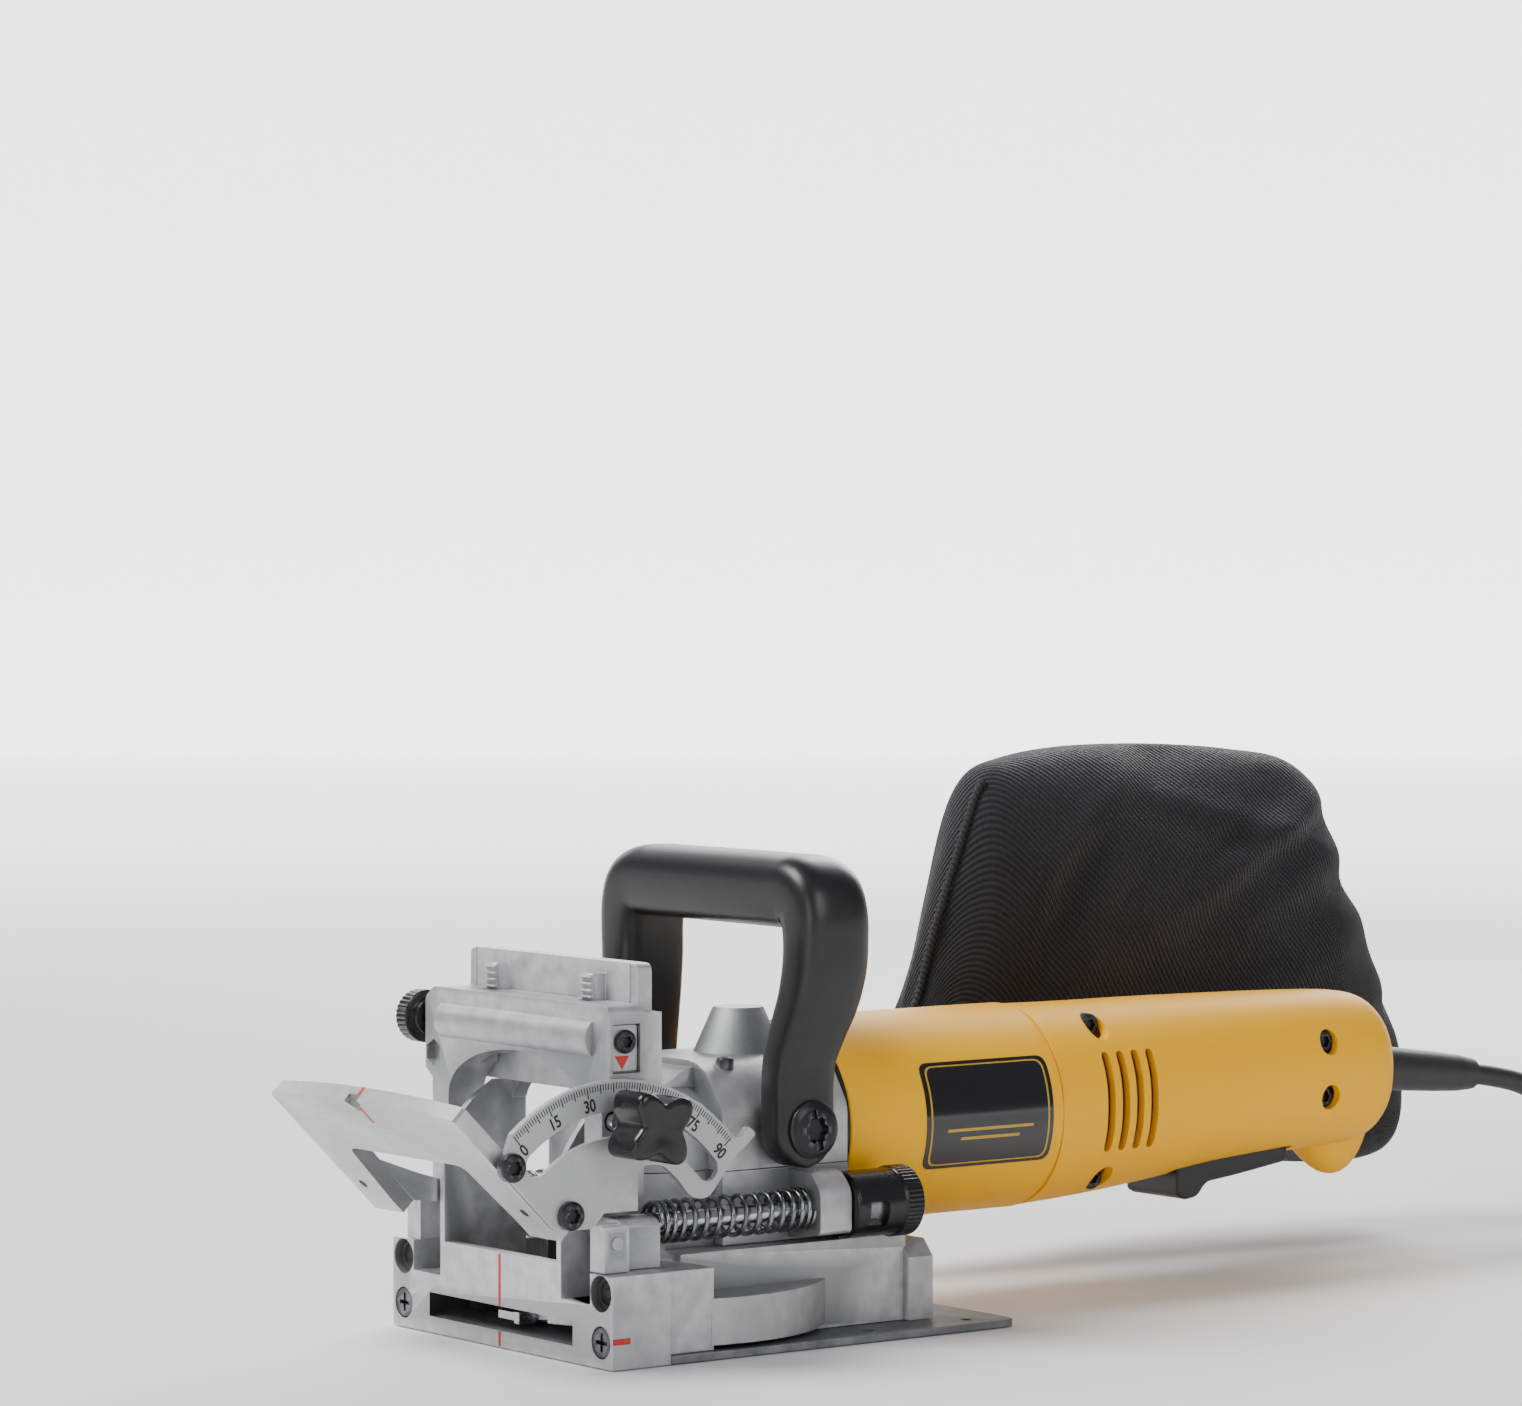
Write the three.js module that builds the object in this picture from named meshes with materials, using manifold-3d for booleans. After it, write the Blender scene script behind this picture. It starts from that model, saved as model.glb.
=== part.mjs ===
// Biscuit joiner: a plunging motor unit on a slotted base, with a tilting fence on a rack-and-pinion carrier.
// Units are millimetres and +Z is up. While the parts are built, Y is measured rearwards from the flat front
// face. The last group moves everything so that the origin is under the spindle axis, on the underside.
import * as THREE from 'three';
import Module from 'manifold-3d';
import { mergeVertices } from 'three/addons/utils/BufferGeometryUtils.js';

const wasm = await Module();
wasm.setup();

// ---- driving dimensions ----
const GAP = 0.3;
const FINE = 24;
const COARSE = 12;
const BASE = { half: 64.6, blockIn: 52, blockTop: 30, floor: 20, front: 23, wallHalf: 34, wallTop: 31.5 };
const SLOT = { low: 5.5, high: 13.5, radius: 52.5, centre: 9.5 };
const SPINDLE = { y: 56, radius: 6, travel: 25 };
const BLADE = { radius: 51, body: 46, thick: 2.8, kerf: 4, teeth: 6 };
const TOWER = { inner: 33, outer: 35.5, depth: 33, ledge: 84.6, top: 122 };
const RACK = { half: 48.7, front: 21, back: 27, low: 85, top: 128.5, pitchLine: 15.1, from: 100, to: 124.4 };
const PINION = { module: 0.7, teeth: 14, x: 28, width: 6 };
const CARRIER = { half: 54, leg: 49.7, inner: 40, front: 6.3, back: 20.6, wrap: 27, low: 48.5, top: 115.6 };
const BARREL = { y: 10.2, z: 104.6, radius: 6.9, half: 44.5 };
const PIVOT = { y: 6.5, z: 31 };
const FENCE = { half: 55, thick: 5.8, low: 21.5, top: 79.5, crown: 3.1, windowTop: 55.2, windowHalf: 34.5 };
const QUADRANT = { x0: 55.3, x1: 57.6, radius: 61.5, slotRadius: 47.3, slotHalf: 4.2, from: 40, to: 130.4 };
const LOCK = { y: 10.6, z: 78, stud: 3 };
const ROD = { x: 47.3, z: 43.8, radius: 3.2, front: 14 };
const SPRING = { front: 26.6, rear: 90.6, radius: 6.5, wire: 0.85, turns: 12 };
const LUG = { front: 91, back: 104, low: 33, top: 56, out: 55 };
const DECK = { half: 45, front: 41, back: 134.5, low: 2.8, top: 32 };
const CASE = { half: 37, front: 64, back: 116, low: 32.4, top: 92.5, split: 56.85, nose: 30 };
const MOTOR = { z: 67, fan: 118.8, front: 140, seam: 212, radius: 36, wall: 4 };
const CROWN_TEETH = 24;
const BEVEL_TEETH = 6;
const QUADRANT_SCREWS = [[-11.8, 50], [-34.3, 66.9]];
const TURRET = { radius: 12, front: 104.5, back: 132 };
const CORD = { radius: 4, coilX: -22, coilY: 588, coilIn: 36, coilOut: 52, coilHigh: 32 };

// ---- colours and finishes ----
const finish = (color, roughness, metalness) =>
  new THREE.MeshStandardMaterial({ color, roughness, metalness });
const cast = () => finish(0xb9bbbd, 0.5, 0.9);
const steel = () => finish(0x9a9c9f, 0.35, 1);
const darkSteel = () => finish(0x4b4d50, 0.5, 0.9);
const yellow = () => finish(0xf4a911, 0.45, 0);
const black = () => finish(0x17181a, 0.5, 0);
const rubber = () => finish(0x1c1c1e, 0.8, 0);
const copper = () => finish(0xb26a3a, 0.4, 0.9);

// ---- geometry helpers ----

/** Signed volume of an indexed geometry, positive when its faces point out. */
function signedVolume(geometry) {
  const p = geometry.attributes.position;
  const index = geometry.index.array;
  const [a, b, c] = [new THREE.Vector3(), new THREE.Vector3(), new THREE.Vector3()];
  let sum = 0;
  for (let i = 0; i < index.length; i += 3) {
    a.fromBufferAttribute(p, index[i]);
    b.fromBufferAttribute(p, index[i + 1]);
    c.fromBufferAttribute(p, index[i + 2]);
    sum += a.dot(b.cross(c));
  }
  return sum / 6;
}

/** A three.js geometry as a solid that can be joined and cut. */
function solid(source) {
  const bare = source.clone();
  bare.deleteAttribute('normal');
  bare.deleteAttribute('uv');
  const merged = mergeVertices(bare, 1e-4);
  const triVerts = new Uint32Array(merged.index.array);
  if (signedVolume(merged) < 0) {
    for (let i = 0; i < triVerts.length; i += 3) {
      [triVerts[i], triVerts[i + 1]] = [triVerts[i + 1], triVerts[i]];
    }
  }
  const vertProperties = new Float32Array(merged.attributes.position.array);
  return new wasm.Manifold(new wasm.Mesh({ numProp: 3, vertProperties, triVerts }));
}

/** The three.js geometry of a solid. */
function geometryOf(body) {
  const mesh = body.getMesh();
  const geometry = new THREE.BufferGeometry();
  geometry.setAttribute('position', new THREE.BufferAttribute(mesh.vertProperties, 3));
  geometry.setIndex(new THREE.BufferAttribute(mesh.triVerts, 1));
  geometry.computeVertexNormals();
  return geometry;
}

const join = (...solids) => solids.reduce((a, b) => a.add(b));
const cut = (body, ...tools) => tools.reduce((a, b) => a.subtract(b), body);

/** A box between two corners. */
function box(x0, x1, y0, y1, z0, z1) {
  const g = new THREE.BoxGeometry(x1 - x0, y1 - y0, z1 - z0);
  g.translate((x0 + x1) / 2, (y0 + y1) / 2, (z0 + z1) / 2);
  return solid(g);
}

/** Turn a geometry built along its own Y axis so that it runs along the named axis. */
function alongAxis(g, axis) {
  if (axis === 'x') g.rotateZ(-Math.PI / 2);
  if (axis === 'z') g.rotateX(Math.PI / 2);
  return g;
}

/** Move a geometry so that its axis passes through a, b in the plane across that axis. */
function placeAxis(g, axis, a, b) {
  if (axis === 'x') g.translate(0, a, b);
  if (axis === 'y') g.translate(a, 0, b);
  if (axis === 'z') g.translate(a, b, 0);
  return g;
}

/** A round bar or cone along an axis, from one station to another. */
function rod(axis, radius, from, to, a, b, segments = FINE, endRadius = radius) {
  const g = new THREE.CylinderGeometry(endRadius, radius, to - from, segments);
  g.translate(0, (from + to) / 2, 0);
  return solid(placeAxis(alongAxis(g, axis), axis, a, b));
}

/** A turned piece: profile points are [radius, station], starting and ending on the axis or closed. */
function turned(profile, axis, a, b, segments = FINE) {
  const g = new THREE.LatheGeometry(profile.map(([r, t]) => new THREE.Vector2(r, t)), segments);
  return solid(placeAxis(alongAxis(g, axis), axis, a, b));
}

/** A ring along an axis. */
const ring = (axis, outer, inner, from, to, a, b, segments = FINE) =>
  cut(rod(axis, outer, from, to, a, b, segments), rod(axis, inner, from - 1, to + 1, a, b, segments));

/** A closed outline with each corner [u, v, radius] rounded by its own radius. */
function outline(corners) {
  const shape = new THREE.Shape();
  const count = corners.length;
  corners.forEach(([u, v, radius = 0], i) => {
    const corner = new THREE.Vector2(u, v);
    const before = new THREE.Vector2(...corners[(i + count - 1) % count].slice(0, 2)).sub(corner);
    const after = new THREE.Vector2(...corners[(i + 1) % count].slice(0, 2)).sub(corner);
    const start = corner.clone().add(before.setLength(Math.max(radius, 1e-6)));
    const end = corner.clone().add(after.setLength(Math.max(radius, 1e-6)));
    const move = i === 0 ? 'moveTo' : 'lineTo';
    if (radius > 0) {
      shape[move](start.x, start.y);
      shape.quadraticCurveTo(corner.x, corner.y, end.x, end.y);
    } else {
      shape[move](u, v);
    }
  });
  shape.closePath();
  return shape;
}

const FRAMES = {
  x: [new THREE.Vector3(0, 1, 0), new THREE.Vector3(0, 0, 1), new THREE.Vector3(1, 0, 0)],
  y: [new THREE.Vector3(1, 0, 0), new THREE.Vector3(0, 0, 1), new THREE.Vector3(0, -1, 0)],
  z: [new THREE.Vector3(1, 0, 0), new THREE.Vector3(0, 1, 0), new THREE.Vector3(0, 0, 1)],
};

/** A flat outline carried along an axis: x takes (Y, Z), y takes (X, Z) and z takes (X, Y) outlines. */
function prism(axis, shape, from, to, curveSegments = 3) {
  const g = new THREE.ExtrudeGeometry(shape, { depth: to - from, bevelEnabled: false, curveSegments });
  g.applyMatrix4(new THREE.Matrix4().makeBasis(...FRAMES[axis]));
  if (axis === 'x') g.translate(from, 0, 0);
  if (axis === 'y') g.translate(0, to, 0);
  if (axis === 'z') g.translate(0, 0, from);
  return solid(g);
}

/** A skin over rings of equally many points, closed at both ends. */
function loft(rings) {
  const count = rings[0].length;
  const points = rings.flat();
  const index = [];
  for (let r = 0; r < rings.length - 1; r += 1) {
    for (let i = 0; i < count; i += 1) {
      const j = (i + 1) % count;
      const [a, b, c, d] = [r * count + i, r * count + j, (r + 1) * count + i, (r + 1) * count + j];
      index.push(a, b, d, a, d, c);
    }
  }
  for (const [r, flip] of [[0, true], [rings.length - 1, false]]) {
    const centre = rings[r].reduce((s, p) => s.add(p), new THREE.Vector3()).divideScalar(count);
    const tip = points.push(centre) - 1;
    for (let i = 0; i < count; i += 1) {
      const [a, b] = [r * count + i, r * count + ((i + 1) % count)];
      index.push(...(flip ? [b, a, tip] : [a, b, tip]));
    }
  }
  const g = new THREE.BufferGeometry();
  g.setAttribute('position', new THREE.Float32BufferAttribute(points.flatMap((p) => [p.x, p.y, p.z]), 3));
  g.setIndex(index);
  return solid(g);
}

/** A superellipse ring across Y, or across any two given directions. */
function superRing(centre, halfA, halfB, power, dirA, dirB, count = 20) {
  return Array.from({ length: count }, (_, i) => {
    const t = (2 * Math.PI * i) / count;
    const a = Math.sign(Math.cos(t)) * Math.abs(Math.cos(t)) ** (2 / power) * halfA;
    const b = Math.sign(Math.sin(t)) * Math.abs(Math.sin(t)) ** (2 / power) * halfB;
    return centre.clone().addScaledVector(dirA, a).addScaledVector(dirB, b);
  });
}

/** A spur outline: thin straight-sided teeth on a root circle, centred on a point. */
function toothedShape(teeth, root, tip, rootWidth, tipWidth, phase) {
  const shape = new THREE.Shape();
  for (let i = 0; i < teeth; i += 1) {
    const mid = phase + (2 * Math.PI * i) / teeth;
    const corners = [[root, -rootWidth], [tip, -tipWidth], [tip, tipWidth], [root, rootWidth]];
    corners.forEach(([radius, across], k) => {
      const angle = mid + across / 2 / radius;
      const move = i === 0 && k === 0 ? 'moveTo' : 'lineTo';
      shape[move](radius * Math.cos(angle), radius * Math.sin(angle));
    });
  }
  shape.closePath();
  return shape;
}

/** An X range on one side of the tool, lowest first. */
const spanX = (side, a, b) => (side > 0 ? [a, b] : [-b, -a]);

const model = new THREE.Group();

/** Add a named piece to the model. */
function add(name, body, material) {
  const mesh = new THREE.Mesh(geometryOf(body), material);
  mesh.name = name;
  model.add(mesh);
  return mesh;
}

// ---- base: front casting and tower ----

/** The blade's swept space: a disc carried forward by the plunge travel. */
function bladeSweep(radius, low, high) {
  const disc = (y) => rod('z', radius, low, high, 0, y, 32);
  const rear = SPINDLE.y;
  const front = SPINDLE.y - SPINDLE.travel;
  return join(disc(rear), disc(front), box(-radius, radius, front, rear, low, high));
}

function towerWall(side) {
  const profile = outline([
    [0, 19.9], [0, 64, 6], [10, 78, 5], [RACK.front - GAP, TOWER.ledge], [RACK.back + GAP, TOWER.ledge],
    [RACK.back + GAP, TOWER.top], [TOWER.depth, TOWER.top], [TOWER.depth, BASE.floor + GAP],
    [BASE.front - 0.1, BASE.floor + GAP], [BASE.front - 0.1, 19.9],
  ]);
  return prism('x', profile, ...spanX(side, TOWER.inner, TOWER.outer));
}

function towerHead() {
  const slab = box(-TOWER.outer, TOWER.outer, RACK.back + GAP, TOWER.depth, 78, TOWER.top);
  const arch = new THREE.Shape();
  arch.moveTo(TOWER.inner, 70);
  arch.absellipse(0, 76, TOWER.inner, 15.4, 0, Math.PI, false);
  arch.lineTo(-TOWER.inner, 70);
  return cut(slab, prism('y', arch, RACK.back - 2, TOWER.depth + 2, 10));
}

function frontCasting() {
  const { half, blockIn, blockTop, floor, front, wallHalf, wallTop } = BASE;
  const body = join(
    box(-half, half, 0, front, 0, floor),
    box(blockIn, half, 0, front, floor - 1, blockTop),
    box(-half, -blockIn, 0, front, floor - 1, blockTop),
    box(-wallHalf, wallHalf, 0, 4, floor - 1, wallTop),
    towerWall(1),
    towerWall(-1),
    towerHead(),
  );
  const holes = [-1, 1].flatMap((side) => [
    rod('y', 5.9, -1, 19, side * 58, 24, 24),
    rod('y', 5.3, -1, 4.6, side * 58, 8.3, 24),
    rod('y', 2.8, 0, front + 1, side * 58, 8.3, COARSE),
  ]);
  return cut(body, bladeSweep(SLOT.radius, SLOT.low, SLOT.high), ...holes);
}

function rackPlate() {
  const { half, front, back, low, top, from, to, pitchLine } = RACK;
  const face = outline([[-half, low], [half, low], [half, top, 3], [-half, top, 3]]);
  const plate = prism('y', face, front, back);
  const guideGrooves = [44.2, -45.4].map((x) => box(x, x + 1.2, front - 1, front + 0.8, low - 1, top + 1));
  const pitch = Math.PI * PINION.module;
  const teeth = outline([[front + 0.5, from], [front + 0.5, to], [pitchLine + 0.7, to], [pitchLine + 0.7,
    from]]);
  const bar = (x) => {
    const base = prism('x', teeth, x, x + PINION.width);
    const ridges = [];
    for (let z = BARREL.z - 1.5 * pitch; z < to - 1; z += pitch) {
      const tooth = [[pitchLine + 0.8, z - 0.6], [pitchLine - 0.5, z - 0.28], [pitchLine - 0.5, z + 0.28],
        [pitchLine + 0.8, z + 0.6]];
      ridges.push(prism('x', outline(tooth), x, x + PINION.width));
    }
    return join(base, ...ridges);
  };
  return join(cut(plate, ...guideGrooves), bar(PINION.x - PINION.width / 2),
    bar(-PINION.x - PINION.width / 2));
}

function slidingPin(side) {
  const pin = rod('y', 5.3, 2.4, 17, side * 58, 24, 24);
  return cut(pin, box(side * 58 - 4, side * 58 + 4, 2, 3.6, 23.4, 24.6), rod('y', 2, 16, 18, side * 58,
    24, 12));
}

function frontScrew(side) {
  const x = side * 58;
  const z = 8.3;
  const screw = join(rod('y', 4.9, 0.3, 4.3, x, z, 18), rod('y', 2.4, 4, 34, x, z, COARSE));
  return cut(screw, box(x - 3, x + 3, 0, 1.9, z - 0.6, z + 0.6), box(x - 0.6, x + 0.6, 0, 1.9, z - 3, z + 3));
}

// ---- base: blade housing and plate ----

function baseCasting() {
  const { half, front, back, low, top } = DECK;
  const flange = (side) => box(...spanX(side, TOWER.outer + 0.5, 62), BASE.front + GAP, front + 1, 19, 29.6);
  const bulge = (side) => {
    const arc = rod('z', 64, 4.3, 19.5, 0, SPINDLE.y - 1, 40);
    return arc.intersect(box(...spanX(side, half - 2, 66), front, 101, 4, 22));
  };
  const rib = prism('y', outline([[-48, low], [48, low], [48, 24], [43, 29.5], [-43, 29.5], [-48, 24]]),
    back - 1, 144);
  const rail = (side) => box(...spanX(side, 26, 32), front + 3, 133, top - 1, 36.5);
  const body = join(
    box(-62, 62, BASE.front + GAP, front + 1, low, BASE.floor),
    flange(1), flange(-1),
    box(-half, half, front, back, low, top),
    bulge(1), bulge(-1),
    rib,
    rail(1), rail(-1),
  );
  const screwHole = (side) => rod('y', 2.8, 20, 37, side * 58, 8.3, COARSE);
  return cut(
    body,
    bladeSweep(54, low - 1, 16),
    box(-38, 38, 60, 128, low - 1, 16),
    box(-8.5, 8.5, BASE.front - 1, 64, 15, 21),
    box(-24.8, 24.8, BASE.front - 1, 79, BASE.floor, top + 1),
    rod('x', 11, -50, -34, 118, 18.5, 20),
    rod('y', MOTOR.radius + 0.6, MOTOR.fan - SPINDLE.travel - 1, 150, 0, MOTOR.z, 36),
    screwHole(1), screwHole(-1),
  );
}

function basePlate() {
  const shape = outline([[-BASE.half, BASE.front + GAP], [BASE.half, BASE.front + GAP], [BASE.half, 167.5, 5],
    [-BASE.half, 167.5, 5]]);
  const holes = [[56, 110], [-56, 110], [56, 152], [-56, 152]].map(([x, y]) => rod('z', 2, -1, 4, x, y, 12));
  return cut(prism('z', shape, 0, 2.5), ...holes);
}

// ---- base: rods and springs ----

function rodPost(side) {
  const boss = box(...spanX(side, 50, 58), 1.5, 11.2, BASE.blockTop + GAP, 45.2);
  const holder = prism('y', outline([[40.6, 30.3], [54.5, 30.3], [54.5, 44, 1.5], [52, 46.5, 1.5], [40.6,
    46.5, 1.5]]
    .map(([x, z, r]) => [side * x, z, r])), 11, 26);
  const pinHead = rod('x', 2.2, ...spanX(side, 57.5, 58.6), 6.4, 39.6, 20);
  return cut(join(boss, holder, pinHead), rod('y', ROD.radius + GAP, 12.5, 27, side * ROD.x, ROD.z, 24));
}

function guideRod(side) {
  const end = side > 0 ? 105.3 : 118;
  return rod('y', ROD.radius, ROD.front, end, side * ROD.x, ROD.z, 24);
}

function returnSpring(side) {
  class Helix extends THREE.Curve {
    getPoint(t, target = new THREE.Vector3()) {
      const angle = 2 * Math.PI * SPRING.turns * t * side;
      const closed = 0.5 - 0.5 * Math.cos(Math.PI * t);
      const y = SPRING.front + SPRING.wire + (SPRING.rear - SPRING.front - 2 * SPRING.wire)
        * (0.55 * closed + 0.45 * t);
      return target.set(side * ROD.x + SPRING.radius * Math.cos(angle), y,
        ROD.z + SPRING.radius * Math.sin(angle));
    }
  }
  const section = new THREE.Shape();
  section.absarc(0, 0, SPRING.wire, 0, 2 * Math.PI);
  const g = new THREE.ExtrudeGeometry(section, { extrudePath: new Helix(), steps: SPRING.turns * 7,
    curveSegments: 2, bevelEnabled: false });
  return solid(g);
}

// ---- spindle, blade and gears ----

function spindle() {
  return turned([[0, 4], [5, 4], [5, 11.3], [12, 11.3], [12, 13.3], [SPINDLE.radius, 13.3],
    [SPINDLE.radius, 58],
    [0, 58]], 'z', 0, SPINDLE.y, 24);
}

function blade() {
  const { radius, body, thick, kerf, teeth } = BLADE;
  const z = SLOT.centre;
  const disc = rod('z', body, z - thick / 2, z + thick / 2, 0, SPINDLE.y, 30);
  const pieces = [];
  for (let i = 0; i < teeth; i += 1) {
    const turn = (2 * Math.PI * i) / teeth;
    const holder = box(-1.5, 10, body - 4, radius - 1.2, z - thick / 2, z + thick / 2);
    const tip = box(-4, -1, body - 2, radius, z - kerf / 2, z + kerf / 2);
    const gullet = rod('z', 4.5, z - 3, z + 3, -6.5, body - 1.5, COARSE);
    pieces.push({ turn: (turn * 180) / Math.PI, holder, tip, gullet });
  }
  const place = (part, degrees) => part.rotate([0, 0, degrees]).translate([0, SPINDLE.y, 0]);
  let result = disc;
  for (const { turn, gullet } of pieces) result = cut(result, place(gullet, turn + 180));
  for (const { turn, holder, tip } of pieces) result = join(result, place(holder, turn + 180), place(tip,
    turn + 180));
  return cut(result, rod('z', 5.3, z - 3, z + 3, 0, SPINDLE.y, 24));
}

function bladeNut() {
  const z = SLOT.centre - BLADE.thick / 2;
  const nut = join(rod('z', 11, z - 1.6, z - GAP, 0, SPINDLE.y, 24), rod('z', 7.6, z - 3.4, z - 1.5, 0,
    SPINDLE.y, 6));
  return cut(nut, rod('z', 5.3, 3, 9, 0, SPINDLE.y, 24));
}


function crownGear() {
  const disc = ring('z', 25, SPINDLE.radius + GAP, 51, 60.4, 0, SPINDLE.y, 24);
  const relief = cut(rod('z', 20.5, 56, 61, 0, SPINDLE.y, 24), rod('z', 11, 55, 62, 0, SPINDLE.y, 16));
  const teeth = [];
  for (let i = 0; i < CROWN_TEETH; i += 1) {
    const profile = outline([[-1.1, 60.2], [1.1, 60.2], [0.6, 61.7], [-0.6, 61.7]]);
    const tooth = prism('y', profile, 20.6, 24.9);
    teeth.push(tooth.rotate([0, 0, ((i + 0.5) * 360) / CROWN_TEETH]).translate([0, SPINDLE.y, 0]));
  }
  return join(cut(disc, relief), ...teeth);
}

function bevelPinion() {
  const shape = toothedShape(BEVEL_TEETH, 4.9, 6.3, 2.2, 1.2, -Math.PI / 2);
  const gear = prism('y', shape, 76.4, 81.2).translate([0, 0, MOTOR.z]);
  return cut(gear, rod('y', 3.8, 75, 83, 0, MOTOR.z, 24));
}

// ---- gearcase ----

function wholeCase() {
  const { half, front, back, low, top, nose } = CASE;
  const block = outline([[-half, low], [half, low], [half, 76, 3], [26, top, 9], [-26, top, 9], [-half,
    76, 3]]);
  const crest = outline([[34, 50], [34, 74, 3], [44, 80, 4], [62, 90.5, 4], [80, 90.5], [80, 50]]);
  const lug = (side) => prism('y', outline([[34, LUG.low], [LUG.out, 35.5, 2], [LUG.out, 50, 3], [49,
    LUG.top, 3],
    [34, LUG.top]].map(([x, z, r]) => [side * x, z, r])), LUG.front, LUG.back);
  return join(
    rod('z', nose, 44, 76, 0, SPINDLE.y, 32),
    rod('z', nose, 75.9, 84, 0, SPINDLE.y, 32, nose - 9),
    prism('y', block, front, back),
    prism('x', crest, -20, 20),
    rod('z', 17.5, 89, 92.2, 0, 97.6, FINE),
    rod('z', 15.5, 92.1, 107.6, 0, 97.6, FINE, 8.6),
    rod('y', 34.5, back - 6, 118, 0, MOTOR.z, 32),
    rod('z', 16, 21, 46, 0, SPINDLE.y, FINE),
    lug(1), lug(-1),
  );
}

function caseHollows() {
  const rail = (side) => box(...spanX(side, 25.6, 32.4), 60, 117, CASE.low - 1, 36.9);
  return [
    rod('z', 26.3, 47, 64.5, 0, SPINDLE.y, 24),
    rod('y', 8.4, 66, 84, 0, MOTOR.z, 16),
    rod('y', 5, 82, 120, 0, MOTOR.z, 12),
    rod('y', 11.4, 96, 120, 0, MOTOR.z, 20),
    rod('z', 6.8, 20, 50, 0, SPINDLE.y, 16),
    rod('z', 13.4, 33, 48, 0, SPINDLE.y, 20),
    rail(1), rail(-1),
    ...[-1, 1].flatMap((side) => [
      rod('y', 3.6, 90, 120, side * ROD.x, ROD.z, 24),
      rod('y', TURRET.radius + 0.6, LUG.back, 121, side * ROD.x, ROD.z, FINE),
      rod('x', 3.3, ...spanX(side, 29, 40), 89.9, 70.5, COARSE),
    ]),
  ];
}

function gearcaseHalves() {
  const body = cut(wholeCase(), ...caseHollows());
  const { split } = CASE;
  return {
    upper: body.intersect(box(-80, 80, 20, 130, split + GAP / 2, 120)),
    lower: body.intersect(box(-80, 80, 20, 130, 10, split - GAP / 2)),
  };
}

function spindleShroud() {
  const block = prism('z', outline([[-24, 34, 4], [24, 34, 4], [24, 63.5], [-24, 63.5]]), 20.6, 36.5);
  return cut(block, rod('z', 16.4, 19, 40, 0, SPINDLE.y, FINE));
}

// ---- motor ----

const HANDLE = { front: 212.3, rear: 385 };
const HANDLE_SECTIONS = [[HANDLE.front, 67, 35.4, 35.4], [240, 67.6, 34.4, 34], [270, 69, 33, 32],
  [300, 70.5, 31.2, 30], [346, 71.5, 29.4, 27.4], [372, 71.5, 28, 25.4], [381.2, 71.5, 24.5, 22],
  [HANDLE.rear, 71.3, 18.5, 16.5]];

function handleTube(inset, first, last) {
  const side = new THREE.Vector3(1, 0, 0);
  const up = new THREE.Vector3(0, 0, 1);
  const rings = HANDLE_SECTIONS.map(([y, z, high, wide], i) => {
    const station = i === 0 ? first : Math.min(y, last);
    return superRing(new THREE.Vector3(0, station, z), wide - inset, high - inset, 2.2, side, up,
      inset > 0 ? 14 : 20);
  });
  return loft(rings);
}

function handleShells() {
  const guard = prism('x', outline([[353, 50], [355, 38, 4], [367, 31.5, 4], [377, 34, 4], [381, 50]]),
    -9, 9);
  const hook = cut(guard, prism('x', outline([[341, 20], [353, 46], [363, 40], [365, 20]]), -12, 12));
  const skin = cut(join(handleTube(0, HANDLE.front, HANDLE.rear), hook),
    handleTube(3, HANDLE.front - 1, HANDLE.rear - 3));
  const bulkhead = cut(rod('y', 32.4, 222, 229, 0, 67.5, FINE), rod('y', 9.3, 220, 231, 0, MOTOR.z, FINE));
  const vents = [-1, 1].flatMap((side) => [235, 242, 249, 256].map((y) =>
    box(...spanX(side, 20, 40), y - 1.8, y + 1.8, 51, 87)));
  const screwWells = [63.5, 83.5].map((z) => rod('x', 4.5, 19, 40, 346, z, 20));
  const body = cut(
    join(skin, bulkhead),
    ...vents,
    ...screwWells,
    box(-15.5, 15.5, 280, 338, 20, 50),
    rod('y', 9.4, 372, 387, 0, 70.5, 24),
  );
  return {
    right: body.intersect(box(GAP / 2, 60, 205, 405, 0, 130)),
    left: body.intersect(box(-60, -GAP / 2, 205, 405, 0, 130)),
  };
}

function coolingFan() {
  const hub = join(rod('y', 9, 120.5, 133, 0, MOTOR.z, 20), rod('y', 27, 121, 122.6, 0, MOTOR.z, 24));
  const vanes = Array.from({ length: 9 }, (_, i) =>
    box(-0.7, 0.7, 122, 131, 8, 26.5).rotate([0, i * 40, 0]).translate([0, 0, MOTOR.z]));
  return cut(join(hub, ...vanes), rod('y', 4.3, 119, 135, 0, MOTOR.z, 24));
}

function armatureCore() {
  const core = rod('y', 17, 152, 193, 0, MOTOR.z, 18);
  const slots = Array.from({ length: 9 }, (_, i) =>
    box(-1.4, 1.4, 150, 195, 12.5, 18).rotate([0, i * 40, 0]).translate([0, 0, MOTOR.z]));
  const ends = join(rod('y', 13, 145, 152.5, 0, MOTOR.z, 16, 14.5), rod('y', 14.5, 192.5, 200, 0,
    MOTOR.z, 16, 13));
  return cut(join(cut(core, ...slots), ends), rod('y', 4.3, 140, 205, 0, MOTOR.z, 24));
}

function switchModule() {
  return join(box(-8.5, 8.5, 292, 326, 53, 72), box(-3, 3, 300, 308, 50.6, 54));
}

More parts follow.
